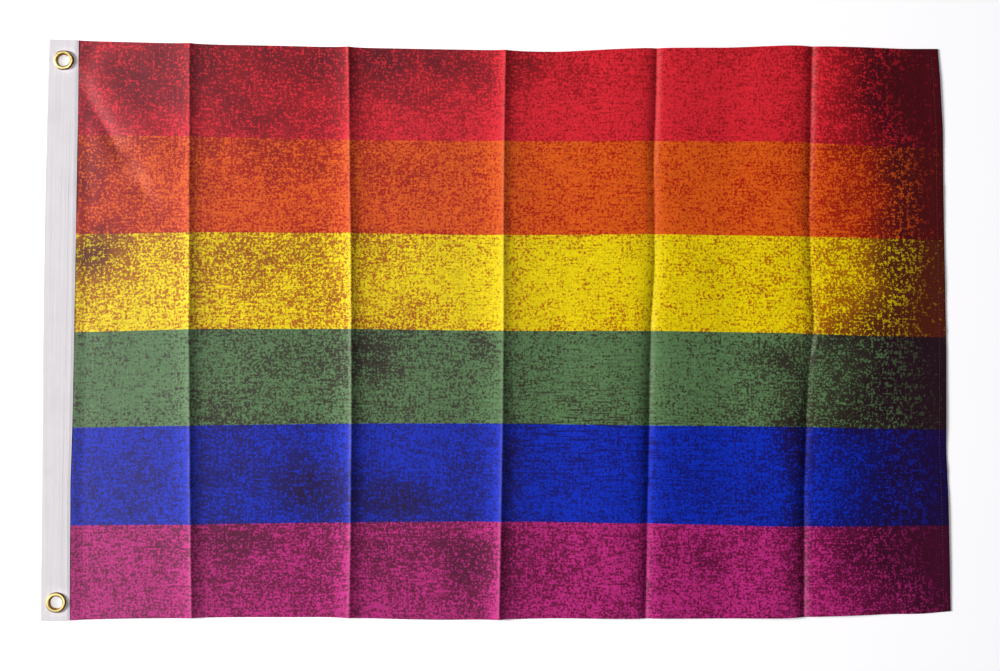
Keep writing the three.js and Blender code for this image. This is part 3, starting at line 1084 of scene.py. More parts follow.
    def make_stripes(self) -> bpy.types.NodeTree:
        """Six even stripes by height on the flat cloth.

        Returns:
            A group from a place in millimetres to the dye there, bare and under thin ink.
        """
        graph, given, out = new_group(
            "six_stripes",
            [("Place", "Vector", None), ("Stripe Height", "Float", 98.6)],
            [("Dye", "Color"), ("Inked Dye", "Color")],
        )
        _, y = graph.split(given.outputs["Place"])
        bleed = graph.noise(given.outputs["Place"], scale=0.7, detail=1.0)
        edge = graph.plus(y, graph.times(graph.minus(bleed, 0.5), 0.9))
        count = len(StripeDye)
        share = graph.maths("DIVIDE", edge, given.outputs["Stripe Height"])
        share = graph.maths("DIVIDE", share, float(count))
        for label, shade in (("Dye", StripeDye.light), ("Inked Dye", StripeDye.inked)):
            ramp = graph.fed("ShaderNodeValToRGB", {0: share})
            ramp.color_ramp.interpolation = "CONSTANT"
            stops = ramp.color_ramp.elements
            stops[1].position = (count - 1) / count
            for i in range(1, count - 1):
                stops.new(i / count)
            for stop, dye in zip(stops, StripeDye):
                stop.color = (*shade(dye), 1.0)
            graph.feed(out.inputs[label], ramp.outputs[0])
        return graph.tree


class StripeDye(Enum):
    """The six dyes, from the bottom stripe up, each with its shade under thin dark ink."""

    PURPLE = (175, 38, 116), (98, 11, 54)
    BLUE = (8, 42, 176), (12, 17, 100)
    GREEN = (83, 116, 75), (50, 48, 34)
    YELLOW = (219, 196, 0), (160, 84, 2)
    ORANGE = (205, 84, 16), (158, 20, 7)
    RED = (203, 34, 46), (142, 16, 24)

    def light(self) -> Rgb:
        """The bare dye as light values."""
        return linear(*self.value[0])

    def inked(self) -> Rgb:
        """The dye under thin dark ink, as light values."""
        return linear(*self.value[1])


# ---- finishes ------------------------------------------------------------------------


def new_material(name: str) -> tuple[bpy.types.Material, Graph, bpy.types.Node]:
    """Starts a material with a Principled shader.

    Args:
        name: its name.

    Returns:
        The material, its graph and the shader node.
    """
    material = bpy.data.materials.new(name)
    material.use_nodes = True
    graph = Graph(material.node_tree)
    material.node_tree.nodes.clear()
    shader = graph.node("ShaderNodeBsdfPrincipled")
    out = graph.node("ShaderNodeOutputMaterial")
    graph.feed(out.inputs["Surface"], shader.outputs[0])
    return material, graph, shader


def flat_millimetres(graph: Graph) -> Socket:
    """Place on the flat cloth in millimetres, from the UV map named print."""
    source = graph.node("ShaderNodeUVMap", uv_map="print")
    return graph.stretched(source.outputs[0], (1000.0, 1000.0, 1000.0))


def solid_millimetres(graph: Graph) -> Socket:
    """Place in the piece in millimetres."""
    source = graph.node("ShaderNodeTexCoord")
    return graph.stretched(source.outputs["Object"], (1000.0, 1000.0, 1000.0))


def mark(graph: Graph, name: str) -> Socket:
    """Reads a named value of the mesh."""
    return graph.node("ShaderNodeAttribute", attribute_name=name).outputs["Fac"]


def bumped(graph: Graph, shader: bpy.types.Node, height: Any, depth: float) -> None:
    """Feeds a height of 0 to 1 to a shader's normal, as a bump of a depth in millimetres."""
    bump = graph.fed("ShaderNodeBump", {"Strength": 1.0, "Distance": depth * MM, "Height": height})
    graph.feed(shader.inputs["Normal"], bump.outputs[0])


@dataclass(frozen=True)
class PrintedCloth:
    """Thin printed polyester with the dark worn-look overprint."""

    ink: Rgb = (0.009, 0.002, 0.004)
    dense: Rgb = (0.08, 0.012, 0.075)
    # colour of bared yarn, which is also the painted highlight and sheen along the folds
    bare: Rgb = linear(250, 236, 228)
    # tint of the painted gloss haze
    painted_haze: Rgb = (1.0, 0.84, 1.0)
    roughness: float = 0.52
    gloss: float = 0.08
    show_through: float = 0.0

    def make(self, name: str, effects: Effects) -> bpy.types.Material:
        """Builds the material.

        Args:
            name: its name.
            effects: the shared shader groups.

        Returns:
            The material.
        """
        material, graph, shader = new_material(name)
        place = flat_millimetres(graph)
        dyes = graph.group(effects.stripes, Place=place)
        # the rub share also carries the painted highlight on the folds' lit flanks, which thins the dark
        # print there
        printed = graph.group(
            effects.worn_print, Place=place, Wear=mark(graph, "wear"), Rub=mark(graph, "rub_and_sheen"),
            Dye=dyes.outputs["Dye"], Inked_Dye=dyes.outputs["Inked Dye"],
            Ink=self.ink, Dense=self.dense, Streak=mark(graph, "streak"),
        )
        weave = graph.group(effects.weave, Place=place, Pitch=0.55, Unevenness=0.4)
        fibre = graph.noise(graph.stretched(place, (0.25, 1.1, 1.0)), detail=3.0, rough=0.7)
        # painted highlight and sheen along the lit flanks of the folds, partly bared yarn
        soft = graph.times(mark(graph, "rub_and_sheen"), 0.012)
        line = graph.times(mark(graph, "pale_and_sheen"), graph.ramped(fibre, 0.25, 0.65, 0.02, 0.11))
        # painted gloss haze, strongest towards the hoist
        colour = graph.blend(mark(graph, "painted_haze"), printed.outputs["Colour"], self.painted_haze)
        colour = graph.blend(graph.plus(soft, line), colour, self.bare)
        colour = graph.shaded(colour, graph.ramped(weave.outputs["Shade"], -0.35, 0.35, 0.90, 1.10))
        if self.show_through:
            colour = graph.blend(self.show_through, colour, linear(228, 214, 214))
        inked = graph.times(printed.outputs["Inked"], 0.08)
        rough = graph.plus(graph.times(fibre, 0.12), self.roughness - 0.06)
        graph.fill(shader, {
            "Base Color": colour, "Roughness": graph.plus(rough, inked), "Specular IOR Level": self.gloss,
            "Sheen Weight": 0.02, "Sheen Roughness": 0.45,
        })
        crumple = graph.noise(place, scale=0.055, detail=4.0, rough=0.6)
        slack = graph.noise(graph.stretched(place, (0.16, 0.05, 1.0)), detail=3.0, rough=0.55)
        cloth = graph.times(weave.outputs["Height"], 0.05)
        height = graph.plus(cloth, graph.times(crumple, 0.35))
        height = graph.plus(height, graph.times(slack, 0.12))
        bumped(graph, shader, height, 1.0)
        return material


@dataclass(frozen=True)
class HoistTape:
    """White woven tape, ribbed along its length."""

    colour: Rgb = linear(196, 192, 195)
    rib: float = 1.9

    def make(self, name: str, effects: Effects) -> bpy.types.Material:
        """Builds the material.

        Args:
            name: its name.
            effects: the shared shader groups.

        Returns:
            The material.
        """
        material, graph, shader = new_material(name)
        place = flat_millimetres(graph)
        weave = graph.group(effects.weave, Place=place, Pitch=0.8, Unevenness=0.45)
        ribs = graph.noise(graph.stretched(place, (1.0 / self.rib, 0.004, 1.0)), detail=2.0, rough=0.6)
        soil = graph.noise(place, scale=0.03, detail=4.0, rough=0.6)
        tone = graph.blend(graph.ramped(ribs, 0.32, 0.68), self.colour, linear(203, 200, 202))
        tone = graph.blend(graph.ramped(soil, 0.45, 0.8, 0.0, 0.22), tone, linear(181, 176, 178))
        edge = graph.times(mark(graph, "edge"), 0.6)
        graph.fill(shader, {
            "Base Color": graph.blend(edge, tone, linear(220, 219, 224)),
            "Roughness": graph.ramped(ribs, 0.3, 0.7, 0.72, 0.86),
            "Specular IOR Level": 0.3, "Sheen Weight": 0.15,
        })
        height = graph.plus(graph.times(weave.outputs["Height"], 0.05), graph.times(ribs, 0.09))
        soft = graph.noise(place, scale=0.05, detail=3.0)
        bumped(graph, shader, graph.plus(height, graph.times(soft, 0.25)), 1.0)
        return material


@dataclass(frozen=True)
class SewingThread:
    """Polyester thread: white on the tape, printed over on the hems."""

    colour: Rgb = linear(216, 213, 219)
    printed: bool = False

    def make(self, name: str, effects: Effects) -> bpy.types.Material:
        """Builds the material.

        Args:
            name: its name.
            effects: the shared shader groups.

        Returns:
            The material.
        """
        material, graph, shader = new_material(name)
        solid = solid_millimetres(graph)
        ply = graph.noise(graph.stretched(solid, (2.2, 2.2, 0.6)), detail=2.0)
        if self.printed:
            place = flat_millimetres(graph)
            dyes = graph.group(effects.stripes, Place=place)
            cloth = PrintedCloth()
            worn = graph.group(
                effects.worn_print, Place=place, Wear=mark(graph, "wear"), Dye=dyes.outputs["Dye"],
                Inked_Dye=dyes.outputs["Inked Dye"], Ink=cloth.ink, Dense=cloth.dense,
            )
            colour = graph.blend(0.01, worn.outputs["Colour"], self.colour)
        else:
            colour = graph.blend(graph.ramped(ply, 0.3, 0.7), self.colour, linear(200, 197, 204))
        graph.fill(shader, {"Base Color": colour, "Roughness": graph.ramped(ply, 0.3, 0.7, 0.45, 0.65)})
        bumped(graph, shader, ply, 0.08)
        return material


@dataclass(frozen=True)
class RolledBrass:
    """Polished brass, tarnished and painted darker where the roll meets the tape and inside the bore: painted
    shade and dark reflection on the roll's edges and under the flange.
    """

    bright: Rgb = linear(255, 238, 162)
    # tarnish and painted shade: the dark brown of the roll's edges and of the parts under the flange
    tarnish_and_shade: Rgb = linear(122, 78, 8)

    def make(self, name: str) -> bpy.types.Material:
        """Builds the material.

        Args:
            name: its name.

        Returns:
            The material.
        """
        material, graph, shader = new_material(name)
        solid = solid_millimetres(graph)
        cloud = graph.noise(solid, scale=0.35, detail=3.0, rough=0.6)
        scratch = graph.noise(graph.stretched(solid, (0.6, 6.0, 2.0)), detail=3.0, rough=0.7)
        uneven = graph.times(graph.minus(cloud, 0.5), 0.25)
        # tarnish with painted shade and dark reflection on the roll's edges
        dull_and_shaded = graph.maths("ADD", mark(graph, "tarnish_and_shade"), uneven, clamp=True)
        rough = graph.plus(graph.ramped(dull_and_shaded, 0.0, 1.0, 0.32, 0.44), graph.times(scratch, 0.08))
        colour = graph.blend(dull_and_shaded, self.bright, self.tarnish_and_shade)
        graph.fill(shader, {"Base Color": colour, "Metallic": 1.0, "Roughness": rough})
        bumped(graph, shader, graph.plus(graph.times(cloud, 0.5), graph.times(scratch, 0.2)), 0.05)
        return material


# ---- the pieces ----------------------------------------------------------------------


@dataclass
class PrintedSheet:
    """The flag's cloth, with its hems and the margin inside the hoist tape.

    Attributes:
        form: how the flag lies.
        eyelets: x and y of each eyelet.
        margin: how far the cloth runs into the tape.
        least_margin: how far it does beside an eyelet.
        row_pitch: distance between rows of the grid.
        hem_marks: distances in from an edge at which the grid has a line.
        fold_marks: the same from a fold line.
        seam_marks: the same from the hoist seam.
        fly_marks: the same from the fly, past the hem.
        near: distance up to which marks keep their place; farther ones spread over the panel.
        spread: distance past that which the far marks fill before they are spread.
    """

    form: FlagForm
    eyelets: dict[str, Spot]
    margin: float = 9.0
    least_margin: float = 2.6
    row_pitch: float = 3.75
    hem_marks: tuple[float, ...] = (
        0.0, 0.25, 0.7, 1.5, 3.0, 5.0, 6.6, 7.4, 8.2, 8.9, 9.1, 10.0, 11.5, 14.0, 18.0,
    )
    fold_marks: tuple[float, ...] = (
        0.0, 0.5, 1.1, 1.9, 3.0, 4.5, 6.5, 9.0, 12.0, 15.5, 19.5, 24.0, 29.0, 34.5, 40.0, 46.0,
        52.0, 58.0, 65.0, 72.0,
    )
    seam_marks: tuple[float, ...] = (
        0.0, 1.0, 2.5, 4.5, 7.0, 10.0, 13.5, 17.5, 22.0, 26.5, 31.0, 36.0, 41.0, 46.0, 51.0, 56.0,
    )
    fly_marks: tuple[float, ...] = (24.0, 31.0, 38.0, 45.0, 52.0, 59.0, 66.0, 73.0)
    near: float = 24.0
    spread: float = 55.5

    def rows(self) -> Array:
        """Nominal heights of the grid, closest together in the hems.

        Returns:
            The heights from the bottom up.
        """
        hem = np.array(self.hem_marks)
        inner = HALF_HEIGHT - self.hem_marks[-1]
        middle = np.linspace(-inner, inner, int(2 * inner / self.row_pitch) + 1)[1:-1]
        return np.concatenate([-HALF_HEIGHT + hem, middle, (HALF_HEIGHT - hem)[::-1]])

    def columns(self, rows: Array) -> Array:
        """Positions of the grid along the fly, following the seam and the folds.

        Args:
            rows: nominal heights.

        Returns:
            One row of positions for each height.
        """
        form = self.form
        lines = [read(line, rows) for line in (form.seam, *(fold.line for fold in form.folds), form.fly_edge)]
        depth = np.full_like(rows, self.margin)
        for _, y in self.eyelets.values():
            beside = ease((np.abs(rows - y) - 14.0) / 10.0)
            depth = np.minimum(depth, self.least_margin + (self.margin - self.least_margin) * beside)
        parts = [lines[0] - depth * share for share in (1.0, 0.66, 0.33)]
        starts = [self.seam_marks] + [self.fold_marks] * len(form.folds)
        ends = [self.fold_marks[1:]] * len(form.folds) + [self.hem_marks + self.fly_marks]
        for left, right, start, end in zip(lines, lines[1:], starts, ends):
            half = (right - left) / 2.0
            parts += [left + self.fitted(off, half) for off in start]
            parts += [right - self.fitted(off, half) for off in end[::-1]]
        return np.stack(parts, 1)

    def fitted(self, off: float, half: Array) -> Array:
        """Keeps a mark near a line as it is, and spreads the far ones over the panel.

        Args:
            off: distance of the mark from the line.
            half: half the width of the panel, for each row.

        Returns:
            The distance for each row.
        """
        if off <= self.near:
            return np.full_like(half, off)
        return self.near + (off - self.near) * (half - self.near) / self.spread

    def build(self) -> Piece:
        """Makes the cloth.

        Returns:
            The closed sheet, with its print places, wear, and rub with painted highlight.
        """
        rows = self.rows()
        x = self.columns(rows)
        y = self.form.on_outline(x, np.repeat(rows[:, None], x.shape[1], 1))
        under, top = self.form.faces(x, y)
        uv = np.stack(self.form.flat_place(x, y), -1)
        form = self.form
        marks = {
            # marks: wear and streaks of the print, rub and painted highlight on the folds' lit flanks,
            # painted sheen along the folds, and painted gloss haze towards the hoist
            "wear": form.wear(x, y), "rub_and_sheen": form.rubbed_and_lit(x, y), "pale_and_sheen": form.paled_and_lit(x, y),
            "streak": form.streaked(x, y), "painted_haze": read(form.fade, x, 20.0),
        }
        sheet = SheetMesh(np.stack([x, y, top], -1), np.stack([x, y, under], -1))
        piece = sheet.build("printed_cloth", uv, marks)
        LOG.info("printed cloth: %d by %d marks, %d faces", *x.shape, len(piece.data.polygons))
        return piece

    def dress(self, piece: Piece, effects: Effects) -> None:
        """Gives the cloth its printed face and its paler back."""
        piece.data.materials.append(PrintedCloth().make("printed_face", effects))
        piece.data.materials.append(PrintedCloth(show_through=0.16, gloss=0.12).make("printed_back", effects))


@dataclass
class HoistStrip:
    """The white tape folded round the cloth's margin, pressed at the eyelets.

    Attributes:
        form: how the flag lies.
        eyelets: x and y of each eyelet.
        ply: thickness of one ply.
        height: height of the folded tape.
        hole: radius of the punched holes.
        press: radius in which the press has flattened the tape.
        last_row: height of the last even row before the ends.
        even_rows: how many even rows there are.
        fine_reach: how far the fine rows run above and below an eyelet.
    """

    form: FlagForm
    eyelets: dict[str, Spot]
    ply: float = 0.42
    height: float = 2.1
    hole: float = 7.6
    press: float = 10.7
    last_row: float = 292.0
    even_rows: int = 118
    fine_reach: float = 17.0

    def rows(self) -> Array:
        """Nominal heights of the grid, close together at the eyelets and the ends.

        Returns:
            The heights from the bottom up.
        """
        marks = {side * (HALF_HEIGHT - inset) for side in (-1.0, 1.0) for inset in (0.0, 0.4, 1.2)}
        marks.update(np.linspace(-self.last_row, self.last_row, self.even_rows).tolist())
        for _, y in self.eyelets.values():
            marks = {m for m in marks if abs(m - y) > self.fine_reach + 0.5 or abs(m) > self.last_row + 0.5}
            marks.update((y + np.arange(-self.fine_reach, self.fine_reach + 0.1, 1.0)).tolist())
        return np.array(sorted(marks))

    def section(self) -> tuple[Array, Array, Array, Array]:
        """The tape's cross-section, from the back ply's edge round to the front ply's.

        Returns:
            Share of the way to the hoist edge, offset beyond it, outer height and inner height.
        """
        across = np.concatenate([[0.0, 0.012, 0.035], np.linspace(0.07, 1.0, 28)])
        radius = self.height / 2.0
        turn = np.linspace(0.0, math.pi, 12)[1:-1]
        share = np.concatenate([across, np.ones(turn.size), across[::-1]])
        bulge = np.concatenate([np.zeros(across.size), np.sin(turn), np.zeros(across.size)])
        lift = np.concatenate([-np.ones(across.size), -np.cos(turn), np.ones(across.size)])
        outer = radius + radius * lift
        inner = radius + (radius - self.ply) * lift
        return share, bulge, outer, inner

    def build(self) -> Piece:
        """Makes the tape.

        Returns:
            The closed folded sheet with both eyelet holes.
        """
        rows = self.rows()
        share, bulge, outer_z, inner_z = self.section()
        radius = self.height / 2.0
        seam, hoist = read(self.form.seam, rows)[:, None], read(self.form.hoist_edge, rows)[:, None]
        front = outer_z > radius + 0.01
        base = seam + (hoist + radius - seam) * share
        outer_x = base - radius * bulge
        inner_x = base - (radius - self.ply) * bulge
        level = np.repeat(rows[:, None], share.size, 1)
        y = self.form.on_outline(outer_x, level)
        outer_x, y = self.round_holes(outer_x, y)
        inner_x = np.where(bulge > 0, inner_x, outer_x)
        outer_z = np.repeat(outer_z[None, :], rows.size, 0)
        inner_z = np.repeat(inner_z[None, :], rows.size, 0)
        shift = self.pressed(outer_x, y, front)
        uv = np.stack([(hoist - outer_x) * MM, (y + 300.0) * MM], -1)
        edge = np.exp(-(((outer_x - seam) / 1.3) ** 2))
        thinned = 0.26 * (1.0 - ease((seam - outer_x) / 2.2)) * front
        sheet = SheetMesh(
            np.stack([outer_x, y, outer_z + shift - thinned], -1),
            np.stack([inner_x, y, inner_z + shift], -1),
            self.kept(outer_x, y),
        )
        piece = sheet.build("hoist_tape", uv, {"edge": edge})
        LOG.info("hoist tape: %d faces", len(piece.data.polygons))
        return piece

    def radii(self, x: Array, y: Array) -> list[tuple[Array, Array]]:
        """Distance and bearing of each point from each eyelet."""
        return [(np.hypot(x - cx, y - cy), np.arctan2(y - cy, x - cx)) for cx, cy in self.eyelets.values()]

    def round_holes(self, x: Array, y: Array) -> tuple[Array, Array]:
        """Pulls the points just inside each punched hole out onto its edge.

        Args:
            x: positions along the fly.
            y: positions up the hoist.

        Returns:
            The moved positions.
        """
        for distance, bearing in self.radii(x, y):
            centre_x, centre_y = x - distance * np.cos(bearing), y - distance * np.sin(bearing)
            near = (distance < self.hole + 0.9) & (distance > self.hole - 1.5)
            x = np.where(near, centre_x + self.hole * np.cos(bearing), x)
            y = np.where(near, centre_y + self.hole * np.sin(bearing), y)
        return x, y

    def kept(self, x: Array, y: Array) -> Array:
        """Which cells are tape: all but those inside a punched hole.

        Args:
            x: positions along the fly.
            y: positions up the hoist.

        Returns:
            True for each cell that is tape.
        """
        keep = np.ones((x.shape[0] - 1, x.shape[1] - 1), bool)
        for distance, _ in self.radii(x, y):
            cells = np.stack([distance[:-1, :-1], distance[1:, :-1], distance[:-1, 1:], distance[1:, 1:]])
            keep &= cells.min(0) > self.hole - 0.2
        return keep

    def pressed(self, x: Array, y: Array, front: Array) -> Array:
        """How far the press has moved each ply at the eyelets, with soft puckers.

        Args:
            x: positions along the fly.
            y: positions up the hoist.
            front: which columns are the front ply.

        Returns:
            The change of height.
        """
        shift = np.zeros_like(x)
        draw = np.random.default_rng(31)
        for distance, bearing in self.radii(x, y):
            held = 1.0 - ease((distance - self.press) / 4.6)
            waves = sum(np.cos(k * bearing + draw.uniform(0, 6.28)) for k in (5, 7, 11)) / 3.0
            pucker = 0.11 * waves * np.exp(-(((distance - 12.8) / 2.6) ** 2))
            shift += np.where(front, -0.16 * held + pucker, 0.76 * (1.0 - ease((distance - 9.8) / 4.6)))
        slack = 0.10 * np.sin(y / 21.0 + 0.6) + 0.07 * np.sin(y / 9.3 + x / 14.0)
        return shift + np.where(front, slack, 0.0)

    def dress(self, piece: Piece, effects: Effects) -> None:
        """Gives the tape its woven white finish on both faces.

        Args:
            piece: the tape.
            effects: the shared shader groups.
        """
        tape = HoistTape().make("woven_tape", effects)
        piece.data.materials.append(tape)
        piece.data.materials.append(tape)


@dataclass
class RolledEyelet:
    """One brass eyelet: rolled front flange, barrel, and clinched back lip.

    Attributes:
        name: name of the piece.
        centre: x and y of its bore.
        lean: how far the flange leans out of level.
        dents: lobes, size and phase of each unevenness of the flange's edge.
        sides: faces round the bore.
        profile: radius and height round the section, starting in the bore.
    """

    name: str
    centre: Spot
    lean: float = 0.0
    dents: tuple[tuple[int, float, float], ...] = ()
    sides: int = 96
    profile: Table = (
        (6.30, 0.50), (6.26, 1.40), (6.26, 2.60), (6.30, 3.20), (6.44, 3.60), (6.72, 3.84), (7.20, 3.95),
        (7.80, 3.99), (8.40, 4.00), (8.95, 3.96), (9.40, 3.84), (9.76, 3.58), (10.02, 3.22), (10.18, 2.80),
        (10.24, 2.44), (10.16, 2.18), (9.90, 2.08), (9.40, 2.06), (7.10, 2.06), (6.92, 1.95), (6.90, 1.30),
        (6.92, 0.76), (7.30, 0.68), (8.80, 0.68), (9.06, 0.50), (9.08, 0.30), (8.90, 0.12), (8.50, 0.06),
        (6.90, 0.06), (6.50, 0.16),
    )

    def build(self) -> Piece:
        """Turns the profile round the bore.

        Returns:
            The closed ring.
        """
        profile = np.array(self.profile)
        angles = np.linspace(0.0, 2.0 * math.pi, self.sides, endpoint=False)
        radius = np.repeat(profile[:, 0][None, :], self.sides, 0)
        uneven = np.zeros(self.sides)
        for lobes, size, phase in self.dents:
            uneven += size * np.cos(lobes * (angles - phase))
        rim = ease((radius - 8.6) / 1.6)
        radius = radius + rim * uneven[:, None]
        height = np.repeat(profile[:, 1][None, :], self.sides, 0)
        height = height + self.lean * ease((height - 2.0) / 1.5) * np.cos(angles - 0.6)[:, None]
        x = self.centre[0] + radius * np.cos(angles)[:, None]
        y = self.centre[1] + radius * np.sin(angles)[:, None]
        points = np.stack([x, y, height], -1).reshape(-1, 3) * MM
        count = len(profile)
        around = np.arange(self.sides)[:, None]
        along = np.arange(count)[None, :]
        following, ahead = (along + 1) % count, (around + 1) % self.sides
        corners = ((around, along), (around, following), (ahead, following), (ahead, along))
        faces = np.stack([turn * count + step for turn, step in corners], -1)
        mesh = bpy.data.meshes.new(self.name)
        mesh.from_pydata(points.tolist(), [], faces.reshape(-1, 4).tolist())
        # painted dark reflection and shade on the roll's outer and inner edges and on the parts under the
        # flange, mixed with tarnish
        grime_and_shade = ease((profile[:, 0] - 9.0) / 0.4) + ease((7.55 - profile[:, 0]) / 0.45)
        grime_and_shade = np.where(profile[:, 1] < 2.1, 0.7, grime_and_shade)
        put_mark(mesh, "tarnish_and_shade", np.tile(np.clip(grime_and_shade, 0.0, 1.0), self.sides))
        piece = shown(self.name, mesh, 60.0)
        LOG.info("%s: %d faces", self.name, len(piece.data.polygons))
        return piece


@dataclass
class StitchRun:
    """Lockstitch rows, one short thread loop at each pitch along a path.

    Attributes:
        pitch: distance between stitches.
        length: length of the thread that shows.
        thread: radius of the thread.
        lean: how far a stitch may lean off the row, in radians.
        seed: seed of the leans.
    """

    pitch: float = 3.1
    length: float = 2.5
    thread: float = 0.17
    lean: float = 0.10
    seed: int = 3

    def tree(self) -> bpy.types.NodeTree:
        """Builds the node tree that lays the stitches.

        Returns:
            The tree, with its sizes as named inputs.
        """
        tree = bpy.data.node_groups.new("stitch_run", "GeometryNodeTree")
        inputs = {
            "Path": "Geometry", "Pitch": "Float", "Length": "Float", "Thread Radius": "Float",
            "Lean": "Float", "Seed": "Int", "Thread": "Material",
        }
        for label, kind in inputs.items():
            tree.interface.new_socket(label, in_out="INPUT", socket_type=f"NodeSocket{kind}")
        tree.interface.new_socket("Stitches", in_out="OUTPUT", socket_type="NodeSocketGeometry")
        graph = Graph(tree)
        given, out = graph.node("NodeGroupInput").outputs, graph.node("NodeGroupOutput")

        # one point for each stitch, and the loop of thread that goes there
        curve = graph.fed("GeometryNodeMeshToCurve", {"Mesh": given["Path"]}).outputs[0]
        steps = {"Curve": curve, "Length": given["Pitch"]}
        spaced = graph.fed("GeometryNodeResampleCurve", steps, mode="LENGTH")
        loop = graph.fed("GeometryNodeMeshUVSphere", {"Segments": 6, "Rings": 5, "Radius": 1.0})
        half, radius = graph.times(given["Length"], 0.5), given["Thread Radius"]
        size = graph.fed("ShaderNodeCombineXYZ", {0: half, 1: radius, 2: radius})

        # each loop lies along the row and leans a little either way
        tangent = graph.node("GeometryNodeInputTangent").outputs[0]
        aim = graph.fed("FunctionNodeAlignRotationToVector", {"Vector": tangent}, axis="X")
        high = graph.fed("ShaderNodeCombineXYZ", {1: given["Lean"], 2: given["Lean"]}).outputs[0]
        leans = {0: graph.shaded(high, -1.0), 1: high, "Seed": given["Seed"]}
        chance = graph.fed("FunctionNodeRandomValue", leans, data_type="FLOAT_VECTOR")
        tilt = graph.fed("FunctionNodeEulerToRotation", {0: chance.outputs[0]})
        ways = {0: aim.outputs[0], 1: tilt.outputs[0]}
        turned = graph.fed("FunctionNodeRotateRotation", ways, rotation_space="LOCAL")

        placed = graph.fed("GeometryNodeInstanceOnPoints", {
            "Points": spaced.outputs[0], "Instance": loop.outputs["Mesh"],
            "Rotation": turned.outputs[0], "Scale": size.outputs[0],
        })
        real = graph.fed("GeometryNodeRealizeInstances", {0: placed.outputs[0]}).outputs[0]
        smooth = graph.fed("GeometryNodeSetShadeSmooth", {"Geometry": real}).outputs[0]
        coated = graph.fed("GeometryNodeSetMaterial", {"Geometry": smooth, "Material": given["Thread"]})
        graph.feed(out.inputs[0], coated.outputs[0])
        return tree

    def sew(
        self, name: str, paths: Sequence[Array], tree: bpy.types.NodeTree, thread: bpy.types.Material
    ) -> Piece:
        """Lays stitches along paths and keeps the result as a plain mesh.

        Args:
            name: name of the piece.
            paths: points of each row, in millimetres.
            tree: the stitch tree.
            thread: the thread's material.

        Returns:
            The stitching.
        """
        points = np.concatenate(paths) * MM
        ends = np.cumsum([len(path) for path in paths])
        edges = [(i, i + 1) for i in range(len(points) - 1) if i + 1 not in ends]
        guide = bpy.data.meshes.new(f"{name}_guide")
        guide.from_pydata(points.tolist(), edges, [])
        row = linked(f"{name}_guide", guide)
        modifier = row.modifiers.new("stitches", "NODES")
        modifier.node_group = tree
        sizes = {
            "Pitch": self.pitch * MM, "Length": self.length * MM, "Thread Radius": self.thread * MM,
            "Lean": self.lean, "Seed": self.seed, "Thread": thread,
        }
        for socket in tree.interface.items_tree:
            if socket.item_type == "SOCKET" and socket.in_out == "INPUT" and socket.name in sizes:
                modifier[socket.identifier] = sizes[socket.name]
        seen = bpy.context.evaluated_depsgraph_get()
        mesh = bpy.data.meshes.new_from_object(row.evaluated_get(seen), depsgraph=seen)
        mesh.name = name
        row.modifiers.remove(modifier)
        bpy.data.objects.remove(row)
        bpy.data.meshes.remove(guide)
        LOG.info("%s: %d faces", name, len(mesh.polygons))
        return linked(name, mesh)


